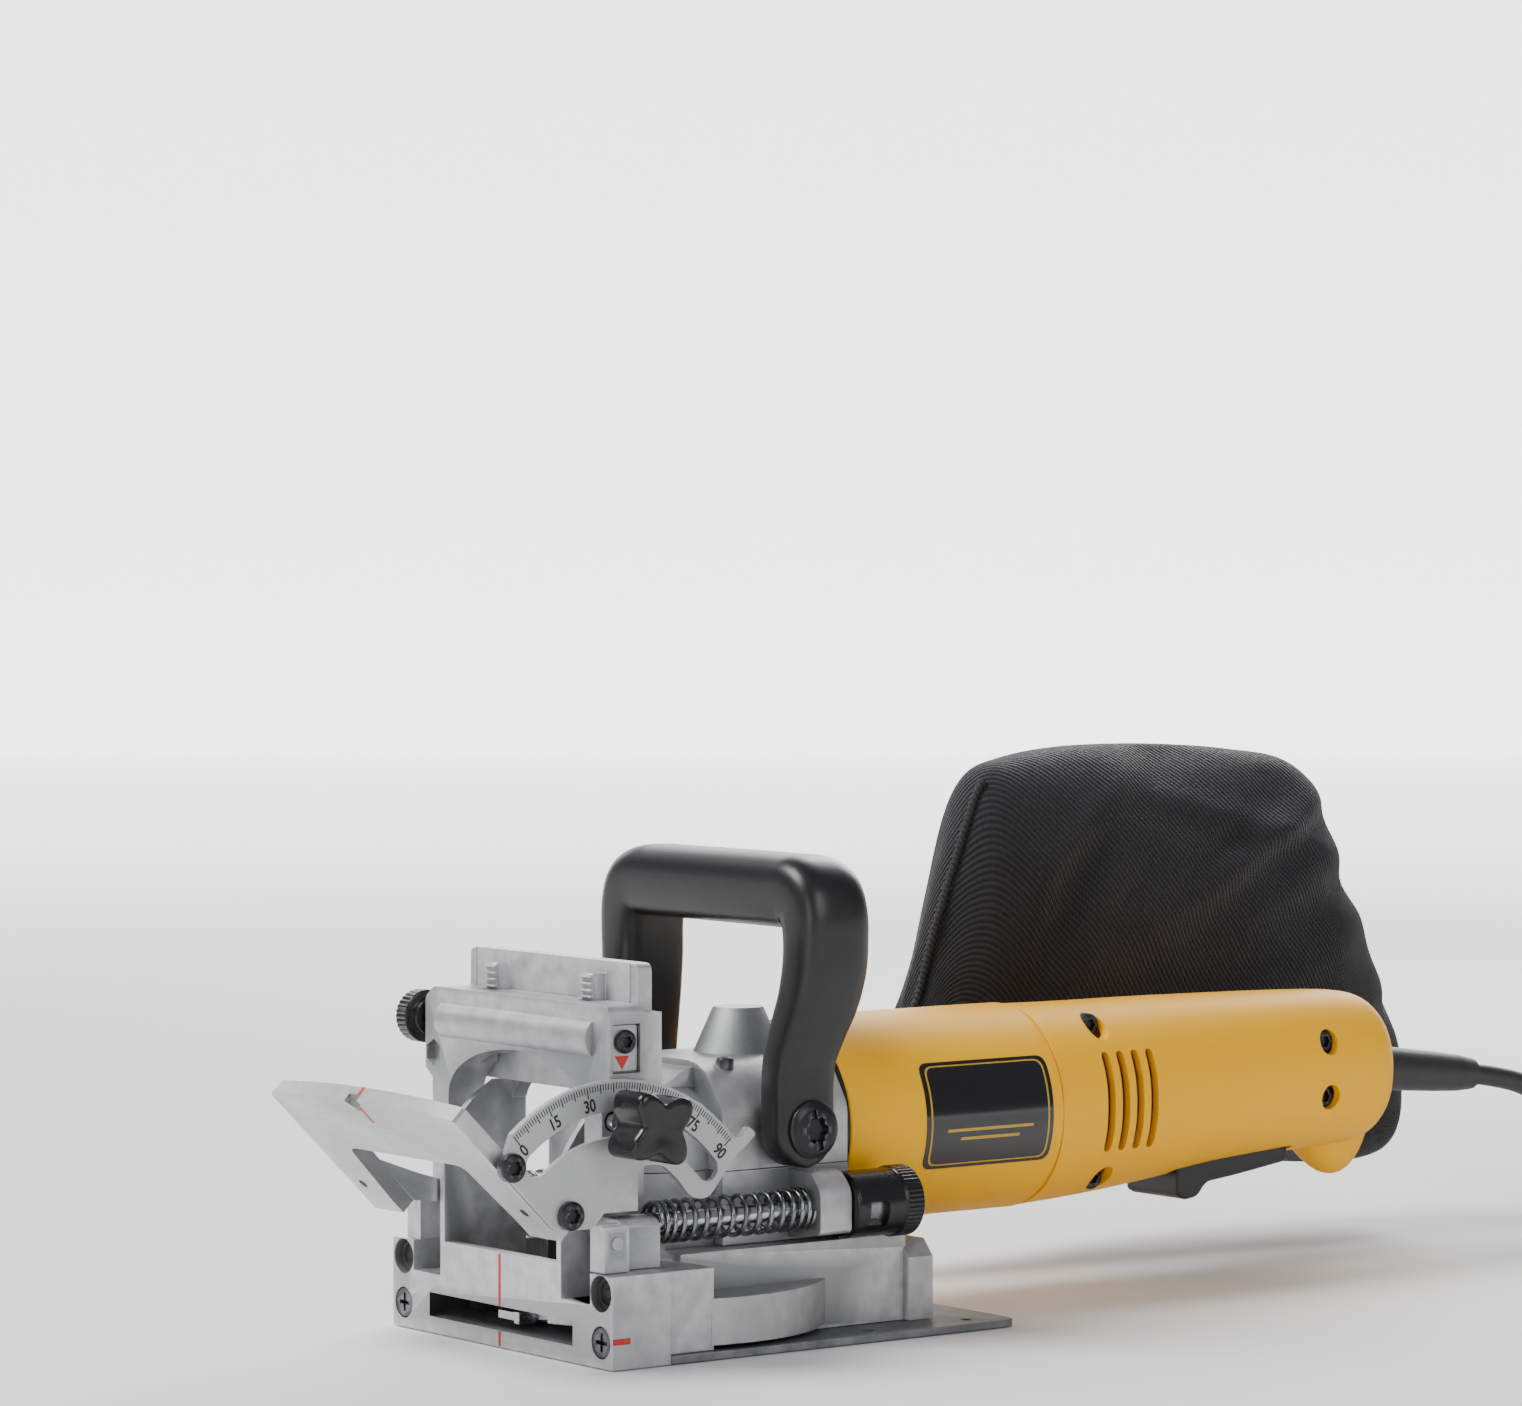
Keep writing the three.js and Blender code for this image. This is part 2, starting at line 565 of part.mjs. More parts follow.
function paddleSwitch() {
  const profile = outline([[283, 30.5, 1.5], [283, 43.5, 1], [300, 44.5], [330, 46.5, 2], [336.5, 45],
    [336, 39.6, 2],
    [312, 36.2, 4], [297, 34.6, 3], [293, 29.6, 2], [287, 28.8, 1.5]]);
  return prism('x', profile, -14.2, 14.2);
}

// ---- handles and knobs ----

/** The bail's path seen from the front, as [x, y, z, half thickness],
  for the right half from foot to crown. */
const BAIL = [[44.8, 89, 57.6, 6.4], [44.8, 89, 60.5, 7.2], [44.8, 89, 70, 7.3], [44.8, 89, 84, 7.3],
  [45.4, 90, 96, 7.6], [48.6, 92.4, 108, 8.8], [51.6, 94.4, 119, 9.6], [52.4, 95, 130, 9.8],
  [51.9, 95, 139, 10.6], [49, 95, 145.6, 11.8], [43.5, 95, 148.3, 12.2], [36, 95, 148.6, 12.2],
  [20, 95, 148.8, 12.2]];

function bailHandle() {
  const left = BAIL.map(([x, ...rest]) => [-x, ...rest]).reverse();
  const path = [...BAIL, ...left];
  const across = new THREE.Vector3(0, 1, 0);
  const rings = path.map(([x, y, z, half], i) => {
    const a = path[Math.max(i - 1, 0)];
    const b = path[Math.min(i + 1, path.length - 1)];
    const normal = new THREE.Vector3(b[2] - a[2], 0, a[0] - b[0]).normalize();
    const foot = i === 0 || i === path.length - 1;
    const wide = z < 90 ? 12.5 : 12.5 + 1.5 * Math.min((z - 90) / 30, 1);
    return superRing(new THREE.Vector3(x, y, z), half, foot ? wide - 3 : wide, 3, normal, across, 12);
  });
  const bar = loft(rings);
  return cut(bar, ...[-1, 1].map((side) => rod('x', 3.3, ...spanX(side, 36, 54), 89.9, 70.5, COARSE)));
}

function bailScrew(side) {
  const head = turned([[0, 52.4], [9.8, 52.4], [9.8, 53.2], [8.2, 54.5], [0, 55]], 'x', 89.9, 70.5, 18);
  const shank = rod('x', 2.9, 31, 52.6, 89.9, 70.5, COARSE);
  const screw = cut(join(head, shank), box(53.6, 57, 84, 95.8, 69.6, 71.4), box(53.6, 57, 89, 90.8, 66.5,
    74.5));
  return side > 0 ? screw : screw.mirror([1, 0, 0]);
}

function depthTurret() {
  const { radius, front, back } = TURRET;
  const body = join(
    rod('y', radius - 0.6, front, back - 7, ROD.x, ROD.z, FINE),
    rod('y', radius, back - 7, back, ROD.x, ROD.z, 24),
  );
  const grooves = Array.from({ length: 12 }, (_, i) =>
    box(-0.7, 0.7, back - 6, back - 1, radius - 0.5, radius + 1).rotate([0, i * 30, 0])
      .translate([ROD.x, 0, ROD.z]));
  const step = box(ROD.x + 6, ROD.x + 14, front - 1, front + 7, ROD.z - 7, ROD.z + 2);
  return cut(body, rod('y', 4.2, front - 1, back + 1, ROD.x, ROD.z, 24), step, ...grooves);
}

function heightKnob() {
  const knob = join(rod('x', 9, -66, -58, BARREL.y, BARREL.z, 24), rod('x', 6.5, -58.1, -55.4, BARREL.y,
    BARREL.z, 20));
  const grooves = Array.from({ length: 12 }, (_, i) =>
    box(-65, -58.8, -0.6, 0.6, 8.3, 10).rotate([i * 30, 0, 0]).translate([0, BARREL.y, BARREL.z]));
  return cut(knob, rod('x', 3.1, -64, -54, BARREL.y, BARREL.z, 20), ...grooves);
}

function pinionShaft() {
  const { teeth, x, width, module } = PINION;
  const pitchRadius = (teeth * module) / 2;
  const shape = toothedShape(teeth, pitchRadius - 0.75, pitchRadius + 0.5, 1.15, 0.5, 0);
  const gear = (at) => prism('x', shape, at - width / 2, at + width / 2).translate([0, BARREL.y, BARREL.z]);
  return join(rod('x', 2.8, -63, 36, BARREL.y, BARREL.z, 12), gear(x), gear(-x));
}

function angleLockKnob() {
  const lobes = (scale) => {
    const shape = new THREE.Shape();
    for (let i = 0; i < 32; i += 1) {
      const t = (2 * Math.PI * i) / 32;
      const r = scale * (11 + 2.9 * Math.cos(4 * (t - 0.62)));
      shape[i === 0 ? 'moveTo' : 'lineTo'](r * Math.cos(t), r * Math.sin(t));
    }
    shape.closePath();
    return shape;
  };
  const body = join(prism('x', lobes(0.97), 62.6, 66), prism('x', lobes(1), 65.9, 79), rod('x', 8.5,
    60.7, 62.7, 0, 0, 24));
  return cut(body.translate([0, LOCK.y, LOCK.z]), rod('x', LOCK.stud + GAP, 60, 71, LOCK.y, LOCK.z, 20));
}

// ---- fence carrier ----

function fenceCarrier() {
  const { half, leg, inner, front, back, wrap, low, top } = CARRIER;
  const shape = outline([[-half, 88], [-half, 111.8, 1.5], [-48.8, top, 1], [52.5, top, 1.5], [half,
    113], [half, 88],
    [leg, 85], [leg, low], [inner, low], [inner, 80], [-inner, 80], [-inner, low], [-leg, low], [-leg, 85]]);
  const arch = new THREE.Shape();
  arch.moveTo(inner, 79);
  arch.absellipse(0, 80, inner, 17.6, 0, Math.PI, false);
  arch.lineTo(-inner, 79);
  const frame = cut(prism('y', shape, front, back), prism('y', arch, front - 1, back + 1, 12));
  const body = join(
    frame,
    box(49.1, half, back - 1, wrap, 88, 113),
    box(-half, -49.1, back - 1, wrap, 88, 111.8),
    rod('x', BARREL.radius, -BARREL.half, BARREL.half, BARREL.y, BARREL.z, FINE),
  );
  const rackWay = (side) => box(...spanX(side, 24.4, 31.6), 13.6, 22, 84, top + 1);
  const pinionWay = (side) => rod('x', 5.9, ...spanX(side, 24.4, 31.6), BARREL.y, BARREL.z, 24);
  return cut(
    body,
    rackWay(1), rackWay(-1), pinionWay(1), pinionWay(-1),
    rod('x', 3.2, -60, 37, BARREL.y, BARREL.z, 20),
    rod('y', 4.6, 5, 9, -49, 93.3, 6),
    box(51.4, 56, 7.7, 18.5, 93.8, 109.7),
    rod('x', 2.3, 45, 56, 13, 103.6, COARSE),
    rod('x', LOCK.stud + GAP, 39, 56, LOCK.y, LOCK.z, 20),
  );
}

function anglePointer() {
  const plate = outline([[8, 94.4, 1], [18.2, 94.4, 1], [18.2, 109.4, 1], [8, 109.4, 1]]);
  return cut(prism('x', plate, 51.8, 52.7), rod('x', 2.6, 50, 54, 13, 103.6, COARSE));
}

function pointerScrew() {
  return cut(
    join(rod('x', 3.7, 53, 55, 13, 103.6, 16), rod('x', 2, 46, 53.1, 13, 103.6, COARSE)),
    rod('x', 1.9, 53.6, 56, 13, 103.6, 6),
  );
}

// ---- fence ----

/** Turn a piece built upright to the rest angle of the fence, about the tilt axis. */
const tilt = (piece) => piece.translate([0, -PIVOT.y, -PIVOT.z]).rotate([45, 0, 0]).translate([0,
  PIVOT.y, PIVOT.z]);

function fenceShape() {
  const { half, low, top, crown, windowTop, windowHalf } = FENCE;
  const z = (u) => PIVOT.z + u;
  const shape = new THREE.Shape();
  shape.moveTo(-half, z(low));
  shape.lineTo(-half, z(top - 1));
  for (let i = 0; i <= 12; i += 1) {
    const x = (half - 1) * (i / 6 - 1);
    shape.lineTo(x, z(top + crown * (1 - (x / half) ** 2)));
  }
  shape.lineTo(half, z(top - 1));
  shape.lineTo(half, z(low));
  shape.lineTo(windowHalf + 3, z(low));
  shape.lineTo(windowHalf + 3, z(low + 6));
  shape.lineTo(windowHalf, z(windowTop - 5));
  shape.quadraticCurveTo(windowHalf, z(windowTop), windowHalf - 5, z(windowTop));
  shape.lineTo(-windowHalf + 5, z(windowTop));
  shape.quadraticCurveTo(-windowHalf, z(windowTop), -windowHalf, z(windowTop - 5));
  shape.lineTo(-windowHalf - 3, z(low + 6));
  shape.lineTo(-windowHalf - 3, z(low));
  shape.closePath();
  return shape;
}

function fencePlate() {
  const { half, thick } = FENCE;
  const arm = (side) => prism('x', outline([[thick - 0.2, 52.6], [thick - 0.2, 74, 2], [13, 58, 4], [19,
    47, 3],
    [22, 41.5, 2], [16.5, 38.8, 2]]), ...spanX(side, 36.6, 39.6));
  const rib = prism('x', outline([[thick - 1, FENCE.low], [11.5, FENCE.low], [11.5, 40, 2], [7, 43.5, 1],
    [7, 50],
    [thick - 0.1, 54], [thick - 1, 54]].map(([y, u, r]) => [y, PIVOT.z + u, r])), 50.3, half);
  const body = join(prism('y', fenceShape(), 0, thick), arm(1), arm(-1), rib);
  const screwHole = ([y, z]) => rod('x', 1.9, 49, 56, y, z, COARSE);
  const upright = cut(
    body,
    box(-45.3, 45.3, 3, 7, PIVOT.z + 66.8, PIVOT.z + 79.7),
    rod('y', 4.5, -1, 2.6, -2, PIVOT.z + 81.5, 4),
    rod('y', 1.8, -1, 8, 47.5, PIVOT.z + 34.3, COARSE),
    rod('y', 1.8, -1, 8, -47.5, PIVOT.z + 34.9, COARSE),
  );
  return cut(tilt(upright), ...QUADRANT_SCREWS.map(screwHole));
}


function angleQuadrant() {
  const { x0, x1, radius, slotRadius, slotHalf, from, to } = QUADRANT;
  const at = (r, degrees) => [PIVOT.y + r * Math.cos((degrees * Math.PI) / 180),
    PIVOT.z + r * Math.sin((degrees * Math.PI) / 180)];
  const arc = (r, a, b, steps) => Array.from({ length: steps + 1 }, (_, i) => at(r,
    a + ((b - a) * i) / steps));
  const edge = outline([
    [-16.5, 45.3, 2], [-36.6, 65.2, 2], [-36.4, 70.6, 2],
    ...arc(radius, 131, 40, 16),
    [56.2, 70.9, 0.6], [59.2, 74.3, 1.6], [62.6, 71.4, 1.6], [53.7, 64.3], [48.6, 58.2, 2], [43.2, 51.6, 3],
    [36.4, 52, 3], [31, 58.6, 3], [25, 63.8, 3], [17.8, 64.4, 3], [3.4, 51.6, 2], [-2.6, 45.1, 2],
  ]);
  const slot = outline([...arc(slotRadius + slotHalf, to, from, 15), ...arc(slotRadius - slotHalf, from,
    to, 15)]);
  const ends = [from, to].map((degrees) => rod('x', slotHalf, x0 - 1, x1 + 1, ...at(slotRadius, degrees),
    20));
  const holes = QUADRANT_SCREWS.map(([y, z]) => rod('x', 1.9, x0 - 1, x1 + 1, y, z, COARSE));
  return cut(prism('x', edge, x0, x1), prism('x', slot, x0 - 1, x1 + 1), ...ends, ...holes);
}

function quadrantScrew([y, z]) {
  const screw = join(turned([[0, 57.9], [4.75, 57.9], [4.6, 59], [3, 60.2], [0, 60.4]], 'x', y, z, 16),
    rod('x', 1.6, 50.8, 58, y, z, COARSE));
  return cut(screw, rod('x', 1.7, 58.8, 61, y, z, 6));
}

// ---- dust outlet and bag ----

function chuteCurve() {
  return new THREE.CatmullRomCurve3([[-45.5, 118, 18.5], [-50, 118, 18.5], [-54, 119, 18.7], [-60, 123,
    19.5], [-67, 136, 25],
    [-70.5, 156, 36], [-72, 178, 49], [-73, 200, 60], [-73.5, 212, 66]].map((p) => new THREE.Vector3(...p)));
}

function dustChute() {
  const section = new THREE.Shape();
  section.absarc(0, 0, 13.5, 0, 2 * Math.PI);
  const bore = new THREE.Path();
  bore.absarc(0, 0, 11.5, 0, 2 * Math.PI);
  section.holes.push(bore);
  return solid(new THREE.ExtrudeGeometry(section, { extrudePath: chuteCurve(), steps: 9, curveSegments: 6,
    bevelEnabled: false }));
}

function bagCollar() {
  const curve = chuteCurve();
  const end = curve.getPoint(1);
  const direction = curve.getTangent(1);
  const turn = new THREE.Quaternion().setFromUnitVectors(new THREE.Vector3(0, 1, 0), direction);
  const profile = [[13.9, -10], [16.5, -10], [16.5, 2], [13.9, 2], [13.9, -10]];
  const g = new THREE.LatheGeometry(profile.map(([r, t]) => new THREE.Vector2(r, t)), 24);
  g.applyQuaternion(turn);
  g.translate(end.x, end.y, end.z);
  return solid(g);
}

/** Bag sections along Y: [y, z low, z high, x of the near side, x of the far side]. */
const BAG = [[222, 52, 86, -60, -88], [231, 48, 106, -56, -96], [240, 42, 140, -52, -104], [254, 36, 172,
  -49, -110],
  [275, 31, 187, -47, -115], [310, 28, 191, -46, -119], [350, 26, 190, -46, -120], [385, 25, 187, -47, -117],
  [410, 25, 176, -48, -112], [428, 26, 140, -50, -104], [440, 30, 108, -54, -96], [448, 42, 84, -62, -86]];

/** The bag's skin moved inwards; both ends move by their own amounts, so the mouth can be left open. */
function bagLoft(inset, mouth, tail) {
  const side = new THREE.Vector3(1, 0, 0);
  const up = new THREE.Vector3(0, 0, 1);
  const last = BAG.length - 1;
  return loft(BAG.map(([y, low, high, near, far], i) => {
    const station = y + (i === 0 ? mouth : 0) + (i === last ? tail : 0);
    const centre = new THREE.Vector3((near + far) / 2, station, (low + high) / 2);
    return superRing(centre, (near - far) / 2 - inset, (high - low) / 2 - inset, 2.6, side, up, 14);
  }));
}

function dustBag() {
  return cut(bagLoft(0, 0, 0), bagLoft(1.4, -1, -1.6));
}

// ---- cord ----

/** Where the cord leaves the boot, drops to the bench and runs to its coil. */
const CORD_ROUTE = [[0, 442.4, 64.3], [0, 452, 63], [0.2, 466, 60], [0.8, 478, 55.2], [1.8, 488, 48.6],
  [3.2, 498.5, 40.6], [5, 505.5, 32], [7.2, 512.5, 23.4], [10, 520, 15.4], [13.6, 528, 9], [18, 536, 5.2],
  [23, 545, 4.1], [28, 556, 4.02], [32, 569, 4.02], [34.3, 583, 4.02]];

function cordTube() {
  const curve = new THREE.CatmullRomCurve3(CORD_ROUTE.map((p) => new THREE.Vector3(...p)));
  const section = new THREE.Shape();
  section.absarc(0, 0, CORD.radius, 0, 2 * Math.PI);
  return solid(new THREE.ExtrudeGeometry(section, { extrudePath: curve, steps: 20, curveSegments: 4,
    bevelEnabled: false }));
}

function cordBoot() {
  const start = new THREE.Vector3(0, 381, 70.7);
  const end = new THREE.Vector3(0, 442, 64.4);
  const length = start.distanceTo(end);
  const ribs = [[9, 4.5], [8.9, 9], [7.6, 9.4], [7.6, 11.4], [8.8, 11.8]];
  const profile = [[0, 0], [9, 0], ...ribs, [8.4, 16], [6.1, length], [0, length]];
  const g = new THREE.LatheGeometry(profile.map(([r, t]) => new THREE.Vector2(r, t)), 20);
  const direction = end.clone().sub(start).normalize();
  g.applyQuaternion(new THREE.Quaternion().setFromUnitVectors(new THREE.Vector3(0, 1, 0), direction));
  g.translate(start.x, start.y, start.z);
  return solid(g);
}

function plug() {
  const { coilX, coilY, coilIn, coilOut, coilHigh } = CORD;
  const x = coilX - (coilIn + coilOut) / 2;
  const low = coilHigh + GAP;
  const mid = low + 9;
  const side = new THREE.Vector3(1, 0, 0);
  const up = new THREE.Vector3(0, 0, 1);
  const stations = [[20, 5, 5], [16, 5.4, 5.4], [6, 7.5, 6.8], [2, 10.5, 8.6], [-10, 12, 9], [-15.5, 12, 9]];
  const body = loft(stations.map(([y, wide, high]) =>
    superRing(new THREE.Vector3(x, coilY + y, mid), wide, high, 3, side, up, 16)));
  const pin = (offset) => box(x + offset - 0.8, x + offset + 0.8, coilY - 32, coilY - 15, mid - 3.2,
    mid + 3.2);
  return join(body, pin(6.35), pin(-6.35));
}

// ---- assembly ----

add('front_casting', frontCasting(), cast());
add('rack_plate', rackPlate(), cast());
add('base_casting', baseCasting(), cast());
add('base_plate', basePlate(), darkSteel());
for (const [name, side] of [['left', -1], ['right', 1]]) {
  add(`anti_slip_pin_${name}`, slidingPin(side), black());
  add(`base_screw_${name}`, frontScrew(side), darkSteel());
  add(`rod_post_${name}`, rodPost(side), cast());
  add(`guide_rod_${name}`, guideRod(side), steel());
  add(`return_spring_${name}`, returnSpring(side), steel());
  add(`handle_screw_${name}`, bailScrew(side), darkSteel());
}
add('spindle', spindle(), steel());
add('blade', blade(), steel());
add('blade_nut', bladeNut(), steel());
add('crown_gear', crownGear(), steel());
add('spindle_bearing', ring('z', 13, 6.3, 34, 43, 0, SPINDLE.y), steel());
const gearcase = gearcaseHalves();
add('gearcase_upper', gearcase.upper, cast());
add('gearcase_lower', gearcase.lower, cast());
add('spindle_shroud', spindleShroud(), black());
add('fan_shroud', ring('y', MOTOR.radius, 31.5, MOTOR.fan, MOTOR.front - 0.3, 0, MOTOR.z, 36), yellow());
add('motor_housing', ring('y', MOTOR.radius, MOTOR.radius - MOTOR.wall, MOTOR.front, MOTOR.seam, 0,
  MOTOR.z, 36),
  yellow());
const shells = handleShells();
add('handle_shell_right', shells.right, yellow());
add('handle_shell_left', shells.left, yellow());
add('stator', ring('y', 31.6, 17.7, 150, 196, 0, MOTOR.z, 24), steel());
add('front_bearing', ring('y', 11, 4.3, 97, 104, 0, MOTOR.z, 20), steel());
add('rear_bearing', ring('y', 9, 4.3, 222.5, 228.5, 0, MOTOR.z, 20), steel());
add('armature_shaft', rod('y', 4, 76.4, 232, 0, MOTOR.z, 20).subtract(rod('y', 2, 75, 76.6, 0, MOTOR.z, 8))
  .subtract(ring('y', 6, 3.5, 75, 82, 0, MOTOR.z, 20)), steel());
add('bevel_pinion', bevelPinion(), steel());
add('cooling_fan', coolingFan(), black());
add('armature_core', armatureCore(), copper());
add('commutator', ring('y', 11, 4.3, 202, 216, 0, MOTOR.z, 24), copper());
add('brush_holder_right', box(11.4, 30, 204.5, 211.5, 63, 71), black());
add('brush_holder_left', box(-30, -11.4, 204.5, 211.5, 63, 71), black());
add('switch_module', switchModule(), black());
add('paddle_switch', paddleSwitch(), black());
add('bail_handle', bailHandle(), black());
add('depth_turret', depthTurret(), black());
add('fence_carrier', fenceCarrier(), cast());
add('angle_pointer', anglePointer(), steel());
add('pointer_screw', pointerScrew(), black());
add('angle_lock_stud', rod('x', LOCK.stud, 41, 69, LOCK.y, LOCK.z, 20), steel());
add('angle_lock_knob', angleLockKnob(), black());
add('height_knob', heightKnob(), black());
add('height_pinion_shaft', pinionShaft(), steel());
add('fence_plate', fencePlate(), cast());
add('angle_quadrant', angleQuadrant(), cast());
add('quadrant_screw_lower', quadrantScrew(QUADRANT_SCREWS[0]), black());
add('quadrant_screw_upper', quadrantScrew(QUADRANT_SCREWS[1]), black());
add('dust_chute', dustChute(), black());
add('bag_collar', bagCollar(), black());
add('dust_bag', dustBag(), black());
add('cord_boot', cordBoot(), rubber());
add('cord_tube', cordTube(), rubber());
add('cord_coil', ring('z', CORD.coilOut, CORD.coilIn, 0, CORD.coilHigh, CORD.coilX, CORD.coilY, 32),
  rubber());
add('plug', plug(), rubber());

model.position.y = -SPINDLE.y;
const part = new THREE.Group();
part.add(model);

export default part;
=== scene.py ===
"""A biscuit joiner on a pale studio floor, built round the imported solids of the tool.

Lengths in this file are millimetres. X runs to the angle scale's side, Z is up, and Y runs rearwards from
the flat front face. to_row turns them into metres in the row frame, whose origin is under the blade spindle.
"""
from __future__ import annotations

import logging
import math
from dataclasses import dataclass
from enum import Enum
from typing import Callable, Sequence

import bmesh
import bpy
import numpy as np
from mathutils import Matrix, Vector


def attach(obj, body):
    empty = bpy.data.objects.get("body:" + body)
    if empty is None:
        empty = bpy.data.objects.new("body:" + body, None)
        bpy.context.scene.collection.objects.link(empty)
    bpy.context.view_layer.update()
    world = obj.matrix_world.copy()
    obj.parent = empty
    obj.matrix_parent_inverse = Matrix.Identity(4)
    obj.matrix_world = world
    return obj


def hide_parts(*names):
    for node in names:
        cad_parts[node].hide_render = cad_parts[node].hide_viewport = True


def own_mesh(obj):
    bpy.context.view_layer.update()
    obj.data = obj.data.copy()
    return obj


LOG = logging.getLogger("joiner")
MM = 0.001
FRONT_FACE = 56.0
TAU = 2 * math.pi
SHAFT_HEIGHT = 67.0
PIVOT = (6.5, 31.0)
ROD_AT = 47.3
ROD_HEIGHT = 43.8
CRISP_ANGLE = 38.0

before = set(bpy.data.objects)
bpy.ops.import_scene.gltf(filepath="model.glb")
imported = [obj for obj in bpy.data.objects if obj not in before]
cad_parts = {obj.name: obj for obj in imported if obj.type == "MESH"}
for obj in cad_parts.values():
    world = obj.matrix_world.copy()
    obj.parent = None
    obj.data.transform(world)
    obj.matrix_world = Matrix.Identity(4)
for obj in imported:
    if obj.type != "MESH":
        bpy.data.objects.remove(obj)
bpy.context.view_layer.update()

Array = np.ndarray
Piece = bpy.types.Object
Socket = bpy.types.NodeSocket
Colour = tuple[float, float, float]
Ripple = Callable[[Array, Array, Array], Array]


class Body(Enum):
    """The moving bodies of the tool, by the names the record gives them."""

    BASE = "base"
    MOTOR = "motor_unit"
    SPINDLE = "spindle_set"
    ARMATURE = "armature_set"
    PADDLE = "paddle"
    TURRET = "turret"
    PIN_LEFT = "pin_left"
    PIN_RIGHT = "pin_right"
    CARRIER = "carrier"
    HEIGHT = "height_drive"
    LOCK = "lock_knob"
    FENCE = "fence"


class Side(Enum):
    """Left and right of the tool, as the sign of X."""

    LEFT = -1
    RIGHT = 1


# ---------------------------------------------------------------- surfaces


def to_row(points: Array) -> Array:
    """Points in millimetres from the front face, as metres in the row frame."""
    return (np.asarray(points, float) - (0.0, FRONT_FACE, 0.0)) * MM


def linked(name: str, data: bpy.types.ID) -> Piece:
    """Put a mesh, curve, lamp or camera into the scene as an object."""
    made = bpy.data.objects.new(name, data)
    bpy.context.scene.collection.objects.link(made)
    return made


def evaluated(piece: Piece) -> Piece:
    """The piece as its modifiers leave it."""
    bpy.context.view_layer.update()
    return piece.evaluated_get(bpy.context.evaluated_depsgraph_get())


def points_of(mesh: bpy.types.Mesh) -> Array:
    """A mesh's points in metres, one to a row."""
    flat = np.zeros(len(mesh.vertices) * 3)
    mesh.vertices.foreach_get("co", flat)
    return flat.reshape(-1, 3)


def superellipse(angle: Array, power: float, up_power: float | None = None) -> tuple[Array, Array]:
    """The across and up shares of a superellipse's points: sign(cos) |cos|^(2/p) and the same of the sine."""
    a, b = np.cos(angle), np.sin(angle)
    return np.sign(a) * np.abs(a) ** (2 / power), np.sign(b) * np.abs(b) ** (2 / (up_power or power))


def new_piece(name: str, points: Array, faces: Sequence[Sequence[int]], sharp: float = CRISP_ANGLE,
              weld: float = 0.002) -> Piece:
    """Put worked-out points and faces into a mesh piece at the origin.

    Args:
        name: the piece's name.
        points: an (n, 3) array in millimetres from the front face.
        faces: vertex numbers of each face.
        sharp: edges that turn by more than this many degrees stay crisp.
        weld: points closer than this many millimetres become one.

    Returns:
        The new piece, smooth and facing outwards.
    """
    mesh = bpy.data.meshes.new(name)
    mesh.from_pydata(to_row(points).tolist(), [], [[int(i) for i in face] for face in faces])
    return dress_mesh(name, mesh, sharp, weld)


def dress_mesh(name: str, mesh: bpy.types.Mesh, sharp: float, weld: float) -> Piece:
    """Weld a mesh, turn its faces outwards, shade it and link it as a piece.

    Args:
        name: the piece's name.
        mesh: the mesh, in metres in the row frame.
        sharp: the angle in degrees past which an edge stays crisp.
        weld: the welding distance in millimetres.

    Returns:
        The linked piece.
    """
    work = bmesh.new()
    work.from_mesh(mesh)
    bmesh.ops.remove_doubles(work, verts=work.verts, dist=weld * MM)
    bmesh.ops.dissolve_degenerate(work, edges=work.edges, dist=weld * MM)
    bmesh.ops.recalc_face_normals(work, faces=work.faces)
    work.to_mesh(mesh)
    work.free()
    mesh.shade_smooth()
    mesh.set_sharp_from_angle(angle=math.radians(sharp))
    return linked(name, mesh)


def grid_faces(rows: int, columns: int, wrap_rows: bool = False,
               wrap_columns: bool = True) -> list[list[int]]:
    """Quads between neighbours in a grid numbered row by row, joined round where a direction wraps."""
    i, j = np.meshgrid(np.arange(rows if wrap_rows else rows - 1),
                       np.arange(columns if wrap_columns else columns - 1), indexing="ij")
    i_next, j_next = (i + 1) % rows, (j + 1) % columns
    here, after = i * columns, i_next * columns
    quads = np.stack([here + j, here + j_next, after + j_next, after + j], -1)
    return quads.reshape(-1, 4).tolist()


def skin(name: str, grid: Array, wrap_rows: bool = False, sharp: float = CRISP_ANGLE) -> Piece:
    """A closed surface over a grid whose columns go round, with fans over its first and last rows.

    Args:
        name: the piece's name.
        grid: an (rows, columns, 3) array of points in millimetres.
        wrap_rows: True where the last row joins the first, so that no end needs a fan.
        sharp: the angle in degrees past which an edge stays crisp.

    Returns:
        The new piece.
    """
    rows, columns = grid.shape[:2]
    points = grid.reshape(-1, 3)
    faces = grid_faces(rows, columns, wrap_rows)
    if not wrap_rows:
        points = np.vstack([points, grid[0].mean(0), grid[-1].mean(0)])
        first, last = rows * columns, rows * columns + 1
        ring = np.arange(columns)
        after = (ring + 1) % columns
        faces += np.stack([after, ring, np.full(columns, first)], -1).tolist()
        base = (rows - 1) * columns
        faces += np.stack([base + ring, base + after, np.full(columns, last)], -1).tolist()
    return new_piece(name, points, faces, sharp)


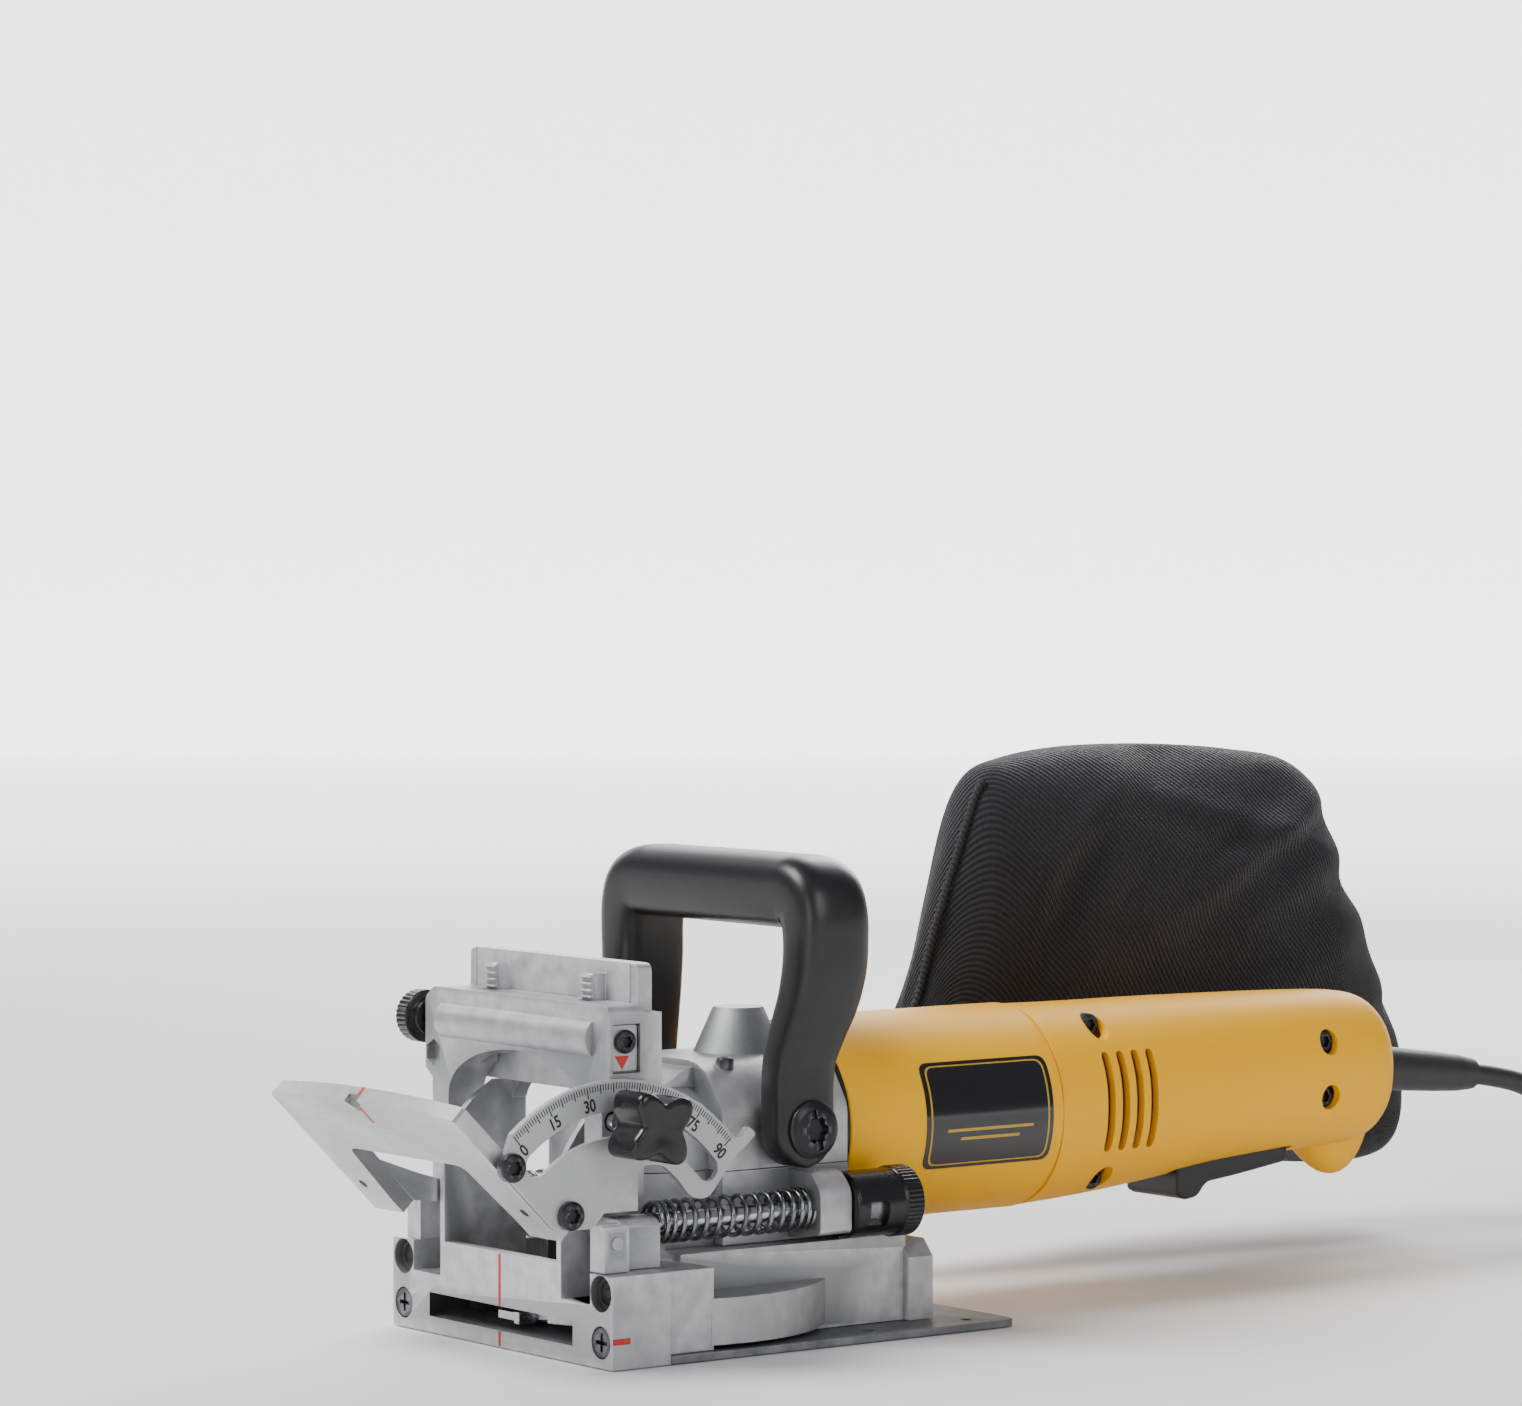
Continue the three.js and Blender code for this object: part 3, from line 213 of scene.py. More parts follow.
def smooth_line(stations: Sequence[Sequence[float]], count: int) -> Array:
    """A Catmull-Rom line through stations: each span is the cubic set by its four nearest stations.

    Args:
        stations: rows of equal length; every column is smoothed alike.
        count: how many points to give back.

    Returns:
        An array with count rows.
    """
    knots = np.asarray(stations, float)
    padded = np.vstack([2 * knots[0] - knots[1], knots, 2 * knots[-1] - knots[-2]])
    at = np.linspace(0, len(knots) - 1, count)
    span = np.minimum(at.astype(int), len(knots) - 2)
    t = (at - span)[:, None]
    a, b, c, d = (padded[span + k] for k in range(4))
    return 0.5 * (2 * b + (c - a) * t + (2 * a - 5 * b + 4 * c - d) * t**2 + (3 * b - a - 3 * c + d) * t**3)


def rounded_profile(corners: Sequence[Sequence[float]], closed: bool = False, steps: int = 5) -> Array:
    """A polyline whose corners [u, v, radius] are each swapped for a quadratic bend of that size.

    Args:
        corners: two coordinates and a bend size for each corner.
        closed: True where the last corner joins the first.
        steps: points on each bend.

    Returns:
        An (n, 2) array.
    """
    knots = [np.array(c[:2], float) for c in corners]
    bends = [c[2] if len(c) > 2 else 0.0 for c in corners]
    out: list[Array] = []
    last = len(knots) - 1
    for i, (knot, bend) in enumerate(zip(knots, bends)):
        if bend <= 0 or (not closed and i in (0, last)):
            out.append(knot)
            continue
        before, after = knots[i - 1] - knot, knots[(i + 1) % (last + 1)] - knot
        start = knot + before / np.linalg.norm(before) * bend
        end = knot + after / np.linalg.norm(after) * bend
        t = np.linspace(0, 1, steps)[:, None]
        out.extend((1 - t) ** 2 * start + 2 * t * (1 - t) * knot + t**2 * end)
    return np.array(out)


def even_steps(outline: Array, count: int) -> Array:
    """Points at equal steps round a closed outline."""
    loop = np.vstack([outline, outline[:1]])
    run = np.concatenate([[0.0], np.cumsum(np.linalg.norm(np.diff(loop, axis=0), axis=1))])
    at = np.linspace(0, run[-1], count, endpoint=False)
    return np.column_stack([np.interp(at, run, loop[:, k]) for k in range(loop.shape[1])])


def across(direction: Sequence[float], reference: Sequence[float]) -> tuple[Array, Array]:
    """Two unit vectors square to each direction, the second as near the reference as it can be."""
    along = np.atleast_2d(np.asarray(direction, float))
    side = np.cross(along, np.asarray(reference, float))
    side /= np.linalg.norm(side, axis=1, keepdims=True)
    return side, np.cross(side, along)


def turned(name: str, profile: Array, start: Sequence[float], direction: Sequence[float], segments: int = 64,
           ripple: Ripple | None = None, ring: bool = False,
           sharp: float = CRISP_ANGLE) -> Piece:
    """A turned piece: radius r at station s goes round the axis, at start + s*d + r*(u cos a + v sin a).

    Args:
        name: the piece's name.
        profile: (n, 2) rows of radius and station.
        start: the axis point of station 0.
        direction: the axis direction.
        segments: points round the axis.
        ripple: changes the radius from (radius, angle, station) arrays, for lobes and knurls.
        ring: True where the profile is a closed loop clear of the axis.
        sharp: the angle in degrees past which an edge stays crisp.

    Returns:
        The new piece.
    """
    rows = np.asarray(profile, float)
    d = np.asarray(direction, float) / np.linalg.norm(direction)
    reference = (0.0, 0.0, 1.0) if abs(d[2]) < 0.9 else (0.0, 1.0, 0.0)
    u, v = (vector[0] for vector in across(d, reference))
    angle = np.linspace(0, TAU, segments, endpoint=False)[None, :]
    radius, station = rows[:, :1] * np.ones_like(angle), rows[:, 1:2] * np.ones_like(angle)
    if ripple is not None:
        radius = ripple(radius, angle, station)
    grid = (np.asarray(start, float) + station[..., None] * d + (radius * np.cos(angle))[..., None] * u
            + (radius * np.sin(angle))[..., None] * v)
    return skin(name, grid, wrap_rows=ring, sharp=sharp)


def swept(name: str, path: Array, sizes: Array, reference: Sequence[float], power: float = 2.0,
          segments: int = 32, bore: float = 0.0, sharp: float = 50.0) -> Piece:
    """A superellipse carried along a path, with its two half sizes changing on the way.

    Args:
        name: the piece's name.
        path: (n, 3) centre points in millimetres.
        sizes: (n, 2) half sizes, across and along the reference.
        reference: a direction the path never follows; the section's second axis stays near it.
        power: 2 gives an ellipse and more gives a squarer section.
        segments: points round the section.
        bore: the share of the section that is open, for a pipe.
        sharp: the angle in degrees past which an edge stays crisp.

    Returns:
        The new piece.
    """
    side, up = across(np.gradient(path, axis=0), reference)
    up /= np.linalg.norm(up, axis=1, keepdims=True)
    angle = np.linspace(0, TAU, segments, endpoint=False)
    a, b = superellipse(angle, power)
    ring = (sizes[:, :1, None] * a[None, :, None] * side[:, None]
            + sizes[:, 1:, None] * b[None, :, None] * up[:, None])
    grid = path[:, None] + ring
    if bore > 0:
        grid = np.concatenate([grid, (path[:, None] + bore * ring)[::-1]])
    return skin(name, grid, wrap_rows=bore > 0, sharp=sharp)


class Plane(Enum):
    """Which two axes a flat outline lies in; it is given thickness along the third."""

    YZ = (1, 2, 0)
    XZ = (0, 2, 1)
    XY = (0, 1, 2)


def slab(name: str, outline: Array, plane: Plane, low: float, high: float, bevel: float = 0.0) -> Piece:
    """A flat outline given thickness, with its rims eased by a Bevel modifier.

    Args:
        name: the piece's name.
        outline: (n, 2) points round the outline.
        plane: the outline's plane.
        low: where the thickness starts.
        high: where it ends.
        bevel: the width of the eased rim.

    Returns:
        The new piece.
    """
    count = len(outline)
    points = np.zeros((2 * count, 3))
    first, second, third = plane.value
    points[:, first] = np.tile(outline[:, 0], 2)
    points[:, second] = np.tile(outline[:, 1], 2)
    points[:, third] = np.repeat([low, high], count)
    ring = np.arange(count)
    after = (ring + 1) % count
    walls = np.stack([ring, after, after + count, ring + count], -1).tolist()
    piece = new_piece(name, points, [ring[::-1].tolist(), (ring + count).tolist(), *walls], sharp=30)
    if bevel > 0:
        ease(piece, bevel)
    return piece


def boxes(name: str, centres: Array, halves: Array, turns: Array | None = None) -> Piece:
    """Many small blocks as one mesh, each of eight corners at centre +- half sizes, turned about X.

    Args:
        name: the piece's name.
        centres: (n, 3) middles.
        halves: (n, 3) half sizes.
        turns: the angle in radians of each block about X.

    Returns:
        The new piece.
    """
    signs = np.array([[x, y, z] for x in (-1, 1) for y in (-1, 1) for z in (-1, 1)], float)
    corner = signs[None] * np.asarray(halves, float)[:, None]
    if turns is not None:
        c, s = np.cos(turns)[:, None], np.sin(turns)[:, None]
        corner = np.stack([corner[..., 0], c * corner[..., 1] - s * corner[..., 2],
                           s * corner[..., 1] + c * corner[..., 2]], -1)
    points = (np.asarray(centres, float)[:, None] + corner).reshape(-1, 3)
    sides = np.array([[0, 1, 3, 2], [4, 6, 7, 5], [0, 4, 5, 1], [2, 3, 7, 6], [0, 2, 6, 4], [1, 5, 7, 3]])
    faces = (sides[None] + 8 * np.arange(len(corner))[:, None, None]).reshape(-1, 4).tolist()
    return new_piece(name, points, faces, sharp=30, weld=0.0001)


def ease(piece: Piece, width: float, angle: float = 32.0, segments: int = 2) -> None:
    """Round a piece's crisp edges with a Bevel modifier of the given width in millimetres."""
    bevel = piece.modifiers.new("eased edges", "BEVEL")
    bevel.width = width * MM
    bevel.segments = segments
    bevel.limit_method = "ANGLE"
    bevel.angle_limit = math.radians(angle)
    bevel.use_clamp_overlap = True
    bevel.harden_normals = False


def carve(piece: Piece, cutters: Sequence[Piece]) -> Piece:
    """Cut pieces out of another for good, and remove them.

    Args:
        piece: the piece to cut; its mesh is swapped for the cut one.
        cutters: closed pieces to take away.

    Returns:
        The same piece.
    """
    for cutter in cutters:
        cut = piece.modifiers.new("cut", "BOOLEAN")
        cut.operation, cut.solver, cut.object = "DIFFERENCE", "EXACT", cutter
    mesh = bpy.data.meshes.new_from_object(evaluated(piece))
    piece.modifiers.clear()
    piece.data = mesh
    for cutter in cutters:
        bpy.data.objects.remove(cutter)
    mesh.shade_smooth()
    mesh.set_sharp_from_angle(angle=math.radians(CRISP_ANGLE))
    return piece


def eased_copy(node: str, name: str, width: float = 0.45) -> Piece:
    """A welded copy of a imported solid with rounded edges, standing for that solid.

    Args:
        node: the solid's name.
        name: the new piece's name.
        width: the size of its rounded edges.

    Returns:
        The new piece.
    """
    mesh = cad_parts[node].data.copy()
    mesh.materials.clear()
    for attribute in ("custom_normal", "UVMap"):
        if attribute in mesh.attributes:
            mesh.attributes.remove(mesh.attributes[attribute])
    work = bmesh.new()
    work.from_mesh(mesh)
    bmesh.ops.remove_doubles(work, verts=work.verts, dist=0.02 * MM)
    bmesh.ops.dissolve_degenerate(work, edges=work.edges, dist=0.03 * MM)
    bmesh.ops.dissolve_limit(work, angle_limit=math.radians(0.6), verts=work.verts, edges=work.edges)
    work.to_mesh(mesh)
    work.free()
    mesh.shade_smooth()
    mesh.set_sharp_from_angle(angle=math.radians(30))
    piece = linked(name, mesh)
    ease(piece, width)
    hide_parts(node)
    return piece


# ---------------------------------------------------------------- finishes


class Tree:
    """A short way to place nodes in a shader tree and link them."""

    def __init__(self, tree: bpy.types.NodeTree) -> None:
        """Work on one tree."""
        self.tree = tree

    def node(self, kind: str, settings: dict[str, object] | None = None, **inputs: object) -> bpy.types.Node:
        """Add a node.

        Args:
            kind: the node's type name without the ShaderNode prefix.
            settings: properties to set on the node.
            inputs: values or output sockets for its inputs, with underscores for spaces, or i0, i1 by number.

        Returns:
            The node.
        """
        node = self.tree.nodes.new("ShaderNode" + kind)
        for key, value in (settings or {}).items():
            setattr(node, key, value)
        for key, value in inputs.items():
            numbered = key[0] == "i" and key[1:].isdigit()
            socket = node.inputs[int(key[1:])] if numbered else node.inputs[key.replace("_", " ")]
            if isinstance(value, Socket):
                self.tree.links.new(value, socket)
            else:
                socket.default_value = value
        return node

    def maths(self, operation: str, a: object, b: object = 0.0, c: object = 0.0) -> Socket:
        """One Math node's result."""
        return self.node("Math", {"operation": operation}, i0=a, i1=b, i2=c).outputs[0]


class Effect(Enum):
    """The shared surface effects, each a node group built once."""

    GRAIN = "fine grain"
    EDGE = "edge wear"
    BRUSHED = "brushed lines"
    TWILL = "twill weave"
    CLOUD = "slow variation"


_groups: dict[Effect, bpy.types.NodeTree] = {}


def effect_group(effect: Effect) -> bpy.types.NodeTree:
    """The node group of an effect, built the first time it is asked for."""
    if effect not in _groups:
        _groups[effect] = _build_group(effect)
    return _groups[effect]


def _group_shell(name: str) -> tuple[Tree, Socket, bpy.types.Node]:
    """Make an empty group that takes a Scale and gives a Height and a Tone.

    Args:
        name: the group's name.

    Returns:
        The tree helper, the scale's socket, and the output node.
    """
    group = bpy.data.node_groups.new(name, "ShaderNodeTree")
    for key, way in (("Scale", "INPUT"), ("Height", "OUTPUT"), ("Tone", "OUTPUT")):
        group.interface.new_socket(key, in_out=way, socket_type="NodeSocketFloat")
    entry, leave = group.nodes.new("NodeGroupInput"), group.nodes.new("NodeGroupOutput")
    return Tree(group), entry.outputs["Scale"], leave


def _build_group(effect: Effect) -> bpy.types.NodeTree:
    """Build the group of one effect: every one gives a Height and a Tone between 0 and 1."""
    tree, scale, leave = _group_shell(effect.value)
    place = tree.node("TexCoord")
    if effect is Effect.GRAIN:
        fine = tree.node("TexNoise", Vector=place.outputs["Object"], Scale=scale, Detail=4.0, Roughness=0.7)
        pits = tree.node("TexVoronoi", Vector=place.outputs["Object"], Scale=scale)
        height = tree.maths("MULTIPLY_ADD", pits.outputs["Distance"], 0.6, fine.outputs[0])
        tone = tree.node("MapRange", i0=fine.outputs[0], i1=0.35, i2=0.65).outputs[0]
    elif effect is Effect.EDGE:
        shape = tree.node("NewGeometry")
        raised = tree.node("MapRange", i0=shape.outputs["Pointiness"], i1=0.51, i2=0.58).outputs[0]
        patchy = tree.node("TexNoise", Vector=place.outputs["Object"], Scale=scale, Detail=3.0)
        height = tree.maths("MULTIPLY", raised, patchy.outputs[0])
        tone = tree.maths("MULTIPLY", height, 1.6)
    elif effect is Effect.BRUSHED:
        stretch = tree.node("Mapping", Vector=place.outputs["Object"], Scale=(1.0, 40.0, 40.0))
        lines = tree.node("TexNoise", Vector=stretch.outputs[0], Scale=scale, Detail=5.0, Roughness=0.6)
        height = lines.outputs[0]
        tone = tree.node("MapRange", i0=lines.outputs[0], i1=0.3, i2=0.7).outputs[0]
    elif effect is Effect.TWILL:
        parts = tree.node("SeparateXYZ", Vector=place.outputs["UV"])
        u = tree.maths("MULTIPLY", parts.outputs[0], scale)
        v = tree.maths("MULTIPLY", parts.outputs[1], scale)
        slant = tree.maths("SINE", tree.maths("MULTIPLY", tree.maths("ADD", u, v), TAU))
        across_weave = tree.maths("SUBTRACT", u, tree.maths("MULTIPLY", v, 0.45))
        weft = tree.maths("SINE", tree.maths("MULTIPLY", across_weave, 2 * TAU))
        fluff = tree.node("TexNoise", Vector=place.outputs["Object"], Scale=600.0, Detail=3.0)
        woven = tree.maths("MULTIPLY_ADD", weft, 0.35, slant)
        height = tree.maths("ADD", woven, fluff.outputs[0])
        tone = tree.node("MapRange", i0=height, i1=-1.0, i2=2.0).outputs[0]
    else:
        cloud = tree.node("TexNoise", Vector=place.outputs["Object"], Scale=scale, Detail=3.0)
        height = cloud.outputs[0]
        tone = tree.node("MapRange", i0=cloud.outputs[0], i1=0.3, i2=0.7).outputs[0]
    tree.tree.links.new(height, leave.inputs["Height"])
    tree.tree.links.new(tone, leave.inputs["Tone"])
    return tree.tree


def new_material(name: str) -> tuple[bpy.types.Material, Tree, bpy.types.Node]:
    """A material with its node tree helper and its Principled shader."""
    material = bpy.data.materials.new(name)
    material.use_nodes = True
    return material, Tree(material.node_tree), material.node_tree.nodes["Principled BSDF"]


@dataclass(frozen=True)
class Finish:
    """One surface finish: two tones mixed by a pattern, with bump, wear and gloss."""

    name: str
    base: Colour
    shade: Colour
    metallic: float = 0.0
    roughness: float = 0.5
    spread: float = 0.15
    effect: Effect = Effect.GRAIN
    scale: float = 1400.0
    bump: float = 0.02
    worn: Colour | None = None
    coat: float = 0.0
    sheen: float = 0.0
    specular: float = 0.5
    smooth_face: float | None = None

    def build(self) -> bpy.types.Material:
        """The material of this finish, made once.

        Returns:
            A material whose pattern, slow cloud and edge wear come from the shared groups.
        """
        ready = bpy.data.materials.get(self.name)
        if ready is not None:
            return ready
        material, tree, shader = new_material(self.name)
        pattern = self._group(tree, self.effect, self.scale)
        cloud = self._group(tree, Effect.CLOUD, 22.0)
        tone = tree.maths("MULTIPLY", pattern.outputs["Tone"], 0.8)
        tone = tree.maths("MULTIPLY_ADD", cloud.outputs["Tone"], 0.2, tone)
        height = pattern.outputs["Height"]
        if self.smooth_face is not None:
            height, tone = self._machined(tree, height, tone)
        colour = self._mix(tree, tone, self.shade, self.base)
        if self.worn is not None:
            edge = self._group(tree, Effect.EDGE, 160.0)
            colour = self._mix(tree, edge.outputs["Tone"], colour, self.worn)
        half = self.spread / 2
        rough = tree.node("MapRange", i0=tone, i3=self.roughness + half, i4=self.roughness - half)
        bump = tree.node("Bump", Strength=1.0, Distance=self.bump * MM, Height=height)
        links = material.node_tree.links
        links.new(colour, shader.inputs["Base Color"])
        links.new(rough.outputs[0], shader.inputs["Roughness"])
        links.new(bump.outputs[0], shader.inputs["Normal"])
        for key, value in (("Metallic", self.metallic), ("Coat Weight", self.coat), ("Coat Roughness", 0.12),
                           ("Sheen Weight", self.sheen), ("Specular IOR Level", self.specular)):
            shader.inputs[key].default_value = value
        material.diffuse_color = (*self.base, 1.0)
        return material

    def _group(self, tree: Tree, effect: Effect, scale: float) -> bpy.types.Node:
        """Place an effect's group with its own scale."""
        return tree.node("Group", {"node_tree": effect_group(effect)}, Scale=scale)

    def _mix(self, tree: Tree, share: object, low: object, high: object) -> Socket:
        """Two colours, mixed by a share between 0 and 1."""
        pair = [(*c, 1.0) if isinstance(c, tuple) else c for c in (low, high)]
        mix = tree.node("Mix", {"data_type": "RGBA"}, i0=share, i6=pair[0], i7=pair[1])
        return mix.outputs[2]

    def _machined(self, tree: Tree, height: object, tone: object) -> tuple[Socket, Socket]:
        """Fade the grain where the surface lies on the machined plane at smooth_face along Y."""
        place = tree.node("TexCoord")
        parts = tree.node("SeparateXYZ", Vector=place.outputs["Object"])
        level = (self.smooth_face - FRONT_FACE) * MM
        rough_part = tree.node("MapRange", i0=parts.outputs[1], i1=level + 0.1 * MM,
                               i2=level + 0.5 * MM).outputs[0]
        return (tree.maths("MULTIPLY", height, rough_part),
                tree.maths("MULTIPLY_ADD", rough_part, -0.35, tree.maths("MULTIPLY_ADD", tone, 0.65, 0.35)))


DIE_CAST = Finish("bead-blasted casting", (0.43, 0.435, 0.44), (0.24, 0.245, 0.25), 0.8, 0.46, 0.16,
                  Effect.GRAIN, 3600.0, 0.06, worn=(0.66, 0.66, 0.67))
FACED_CAST = Finish("faced casting", (0.47, 0.475, 0.48), (0.26, 0.265, 0.27), 0.8, 0.44, 0.16, Effect.GRAIN,
                    3600.0, 0.06, worn=(0.68, 0.68, 0.69), smooth_face=0.0)
FENCE_METAL = Finish("satin fence", (0.5, 0.505, 0.51), (0.36, 0.365, 0.37), 0.85, 0.38, 0.14, Effect.BRUSHED,
                     60.0, 0.015, worn=(0.68, 0.68, 0.69))
SCALE_WHITE = Finish("scale plate", (0.5, 0.505, 0.51), (0.42, 0.425, 0.43), 0.5, 0.42, 0.1, Effect.GRAIN,
                     2160.0, 0.01)
PLATE_GREY = Finish("plate coating", (0.085, 0.09, 0.098), (0.06, 0.064, 0.07), 0.3, 0.5, 0.12, Effect.GRAIN,
                    2640.0, 0.03, worn=(0.3, 0.31, 0.32))
BRIGHT_STEEL = Finish("bright steel", (0.7, 0.7, 0.71), (0.48, 0.48, 0.49), 1.0, 0.2, 0.12, Effect.BRUSHED,
                      40.0, 0.004)
SPRING_STEEL = Finish("spring steel", (0.34, 0.345, 0.35), (0.16, 0.165, 0.17), 1.0, 0.26, 0.14, Effect.CLOUD,
                      120.0, 0.004)
BLADE_STEEL = Finish("ground blade", (0.58, 0.585, 0.59), (0.4, 0.4, 0.41), 1.0, 0.3, 0.14, Effect.BRUSHED,
                     50.0, 0.006)
BLACK_OXIDE = Finish("black oxide", (0.035, 0.035, 0.038), (0.018, 0.018, 0.02), 0.7, 0.34, 0.16,
                     Effect.GRAIN, 2880.0, 0.012, worn=(0.2, 0.2, 0.21))
YELLOW = Finish("warm yellow", (1.0, 0.5, 0.0), (0.97, 0.465, 0.0), 0.0, 0.5, 0.1, Effect.GRAIN, 4080.0, 0.01,
                specular=0.22)
SATIN_BLACK = Finish("satin black", (0.009, 0.009, 0.01), (0.006, 0.006, 0.007), 0.0, 0.36, 0.12,
                     Effect.GRAIN, 3600.0, 0.02)
KNOB_BLACK = Finish("moulded black", (0.008, 0.008, 0.009), (0.005, 0.005, 0.006), 0.0, 0.26, 0.06,
                    Effect.CLOUD, 90.0, 0.002)
RUBBER = Finish("cord rubber", (0.028, 0.028, 0.03), (0.017, 0.017, 0.018), 0.0, 0.52, 0.14, Effect.GRAIN,
                2880.0, 0.02)
TWILL = Finish("black twill", (0.02, 0.021, 0.026), (0.004, 0.004, 0.005), 0.0, 0.72, 0.1, Effect.TWILL,
               420.0, 0.22, sheen=0.12, specular=0.25)
THREAD = Finish("seam thread", (0.02, 0.02, 0.023), (0.007, 0.007, 0.008), 0.0, 0.7, 0.1, Effect.GRAIN,
                5280.0, 0.05, sheen=0.06)
PANEL_BLACK = Finish("gloss panel", (0.006, 0.006, 0.007), (0.004, 0.004, 0.005), 0.0, 0.16, 0.06,
                     Effect.CLOUD, 60.0, 0.001, coat=0.5)
PANEL_LINE = Finish("panel line", (0.6, 0.34, 0.02), (0.52, 0.29, 0.015), 0.0, 0.4, 0.06, Effect.CLOUD, 60.0,
                    0.001)
RED_MARK = Finish("red mark", (0.55, 0.03, 0.02), (0.42, 0.02, 0.015), 0.0, 0.42, 0.1, Effect.GRAIN, 2160.0,
                  0.004)
INK = Finish("black ink", (0.01, 0.01, 0.011), (0.006, 0.006, 0.007), 0.0, 0.5, 0.1, Effect.GRAIN, 2160.0,
             0.002)
COPPER = Finish("lacquered copper", (0.62, 0.27, 0.12), (0.42, 0.16, 0.07), 0.9, 0.34, 0.16, Effect.BRUSHED,
                70.0, 0.02)


def finish_piece(piece: Piece, body: Body, finish: Finish) -> Piece:
    """Dress a new piece and let it ride.

    Args:
        piece: the piece.
        body: what it moves with.
        finish: its look.

    Returns:
        The same piece.
    """
    piece.data.materials.clear()
    piece.data.materials.append(finish.build())
    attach(piece, body.value)
    LOG.info("%s rides on %s", piece.name, body.value)
    return piece


def lobes(limit: float, above: float, depth: float) -> Ripple:
    """A six-lobed socket, r(a) = r0 (1 + depth cos 6a), on rows inside the limit and above a station."""
    return lambda r, a, s: np.where((r < limit) & (s > above), r * (1 + depth * np.cos(6 * a)), r)


def ribs(low: float, high: float, inner: float, waves: int, depth: float) -> Ripple:
    """A knurled rim, r(a) = r0 - depth (1 - |cos(waves a)|), between two stations and outside a radius."""
    return lambda r, a, s: np.where((s > low) & (s < high) & (r > inner),
                                    r - depth * (1 - np.abs(np.cos(waves * a))), r)


def socket_screw(name: str, at: Sequence[float], way: Sequence[float], radius: float, tall: float,
                 body: Body) -> Piece:
    """A black domed head with a six-lobed socket.

    Args:
        name: the piece's name.
        at: the point under the head, on its axis.
        way: the direction the head faces.
        radius: the head's radius.
        tall: its height.
        body: what it moves with.

    Returns:
        The new piece.
    """
    profile = rounded_profile([[0, -1.5], [radius, -1.5], [radius, tall - 0.8, 0.4],
                               [radius * 0.8, tall, 0.5], [radius * 0.5, tall, 0.15],
                               [radius * 0.42, tall - 1.3], [0, tall - 1.3]])
    head = turned(name, profile, at, way, 48, ripple=lobes(radius * 0.52, tall - 1.5, 0.13))
    return finish_piece(head, body, BLACK_OXIDE)


def dress_node(node: str, finish: Finish) -> None:
    """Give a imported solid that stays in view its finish."""
    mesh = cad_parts[node].data
    if not mesh.materials:
        mesh.materials.append(finish.build())
    for place in range(len(mesh.materials)):
        mesh.materials[place] = finish.build()


# ---------------------------------------------------------------- studio


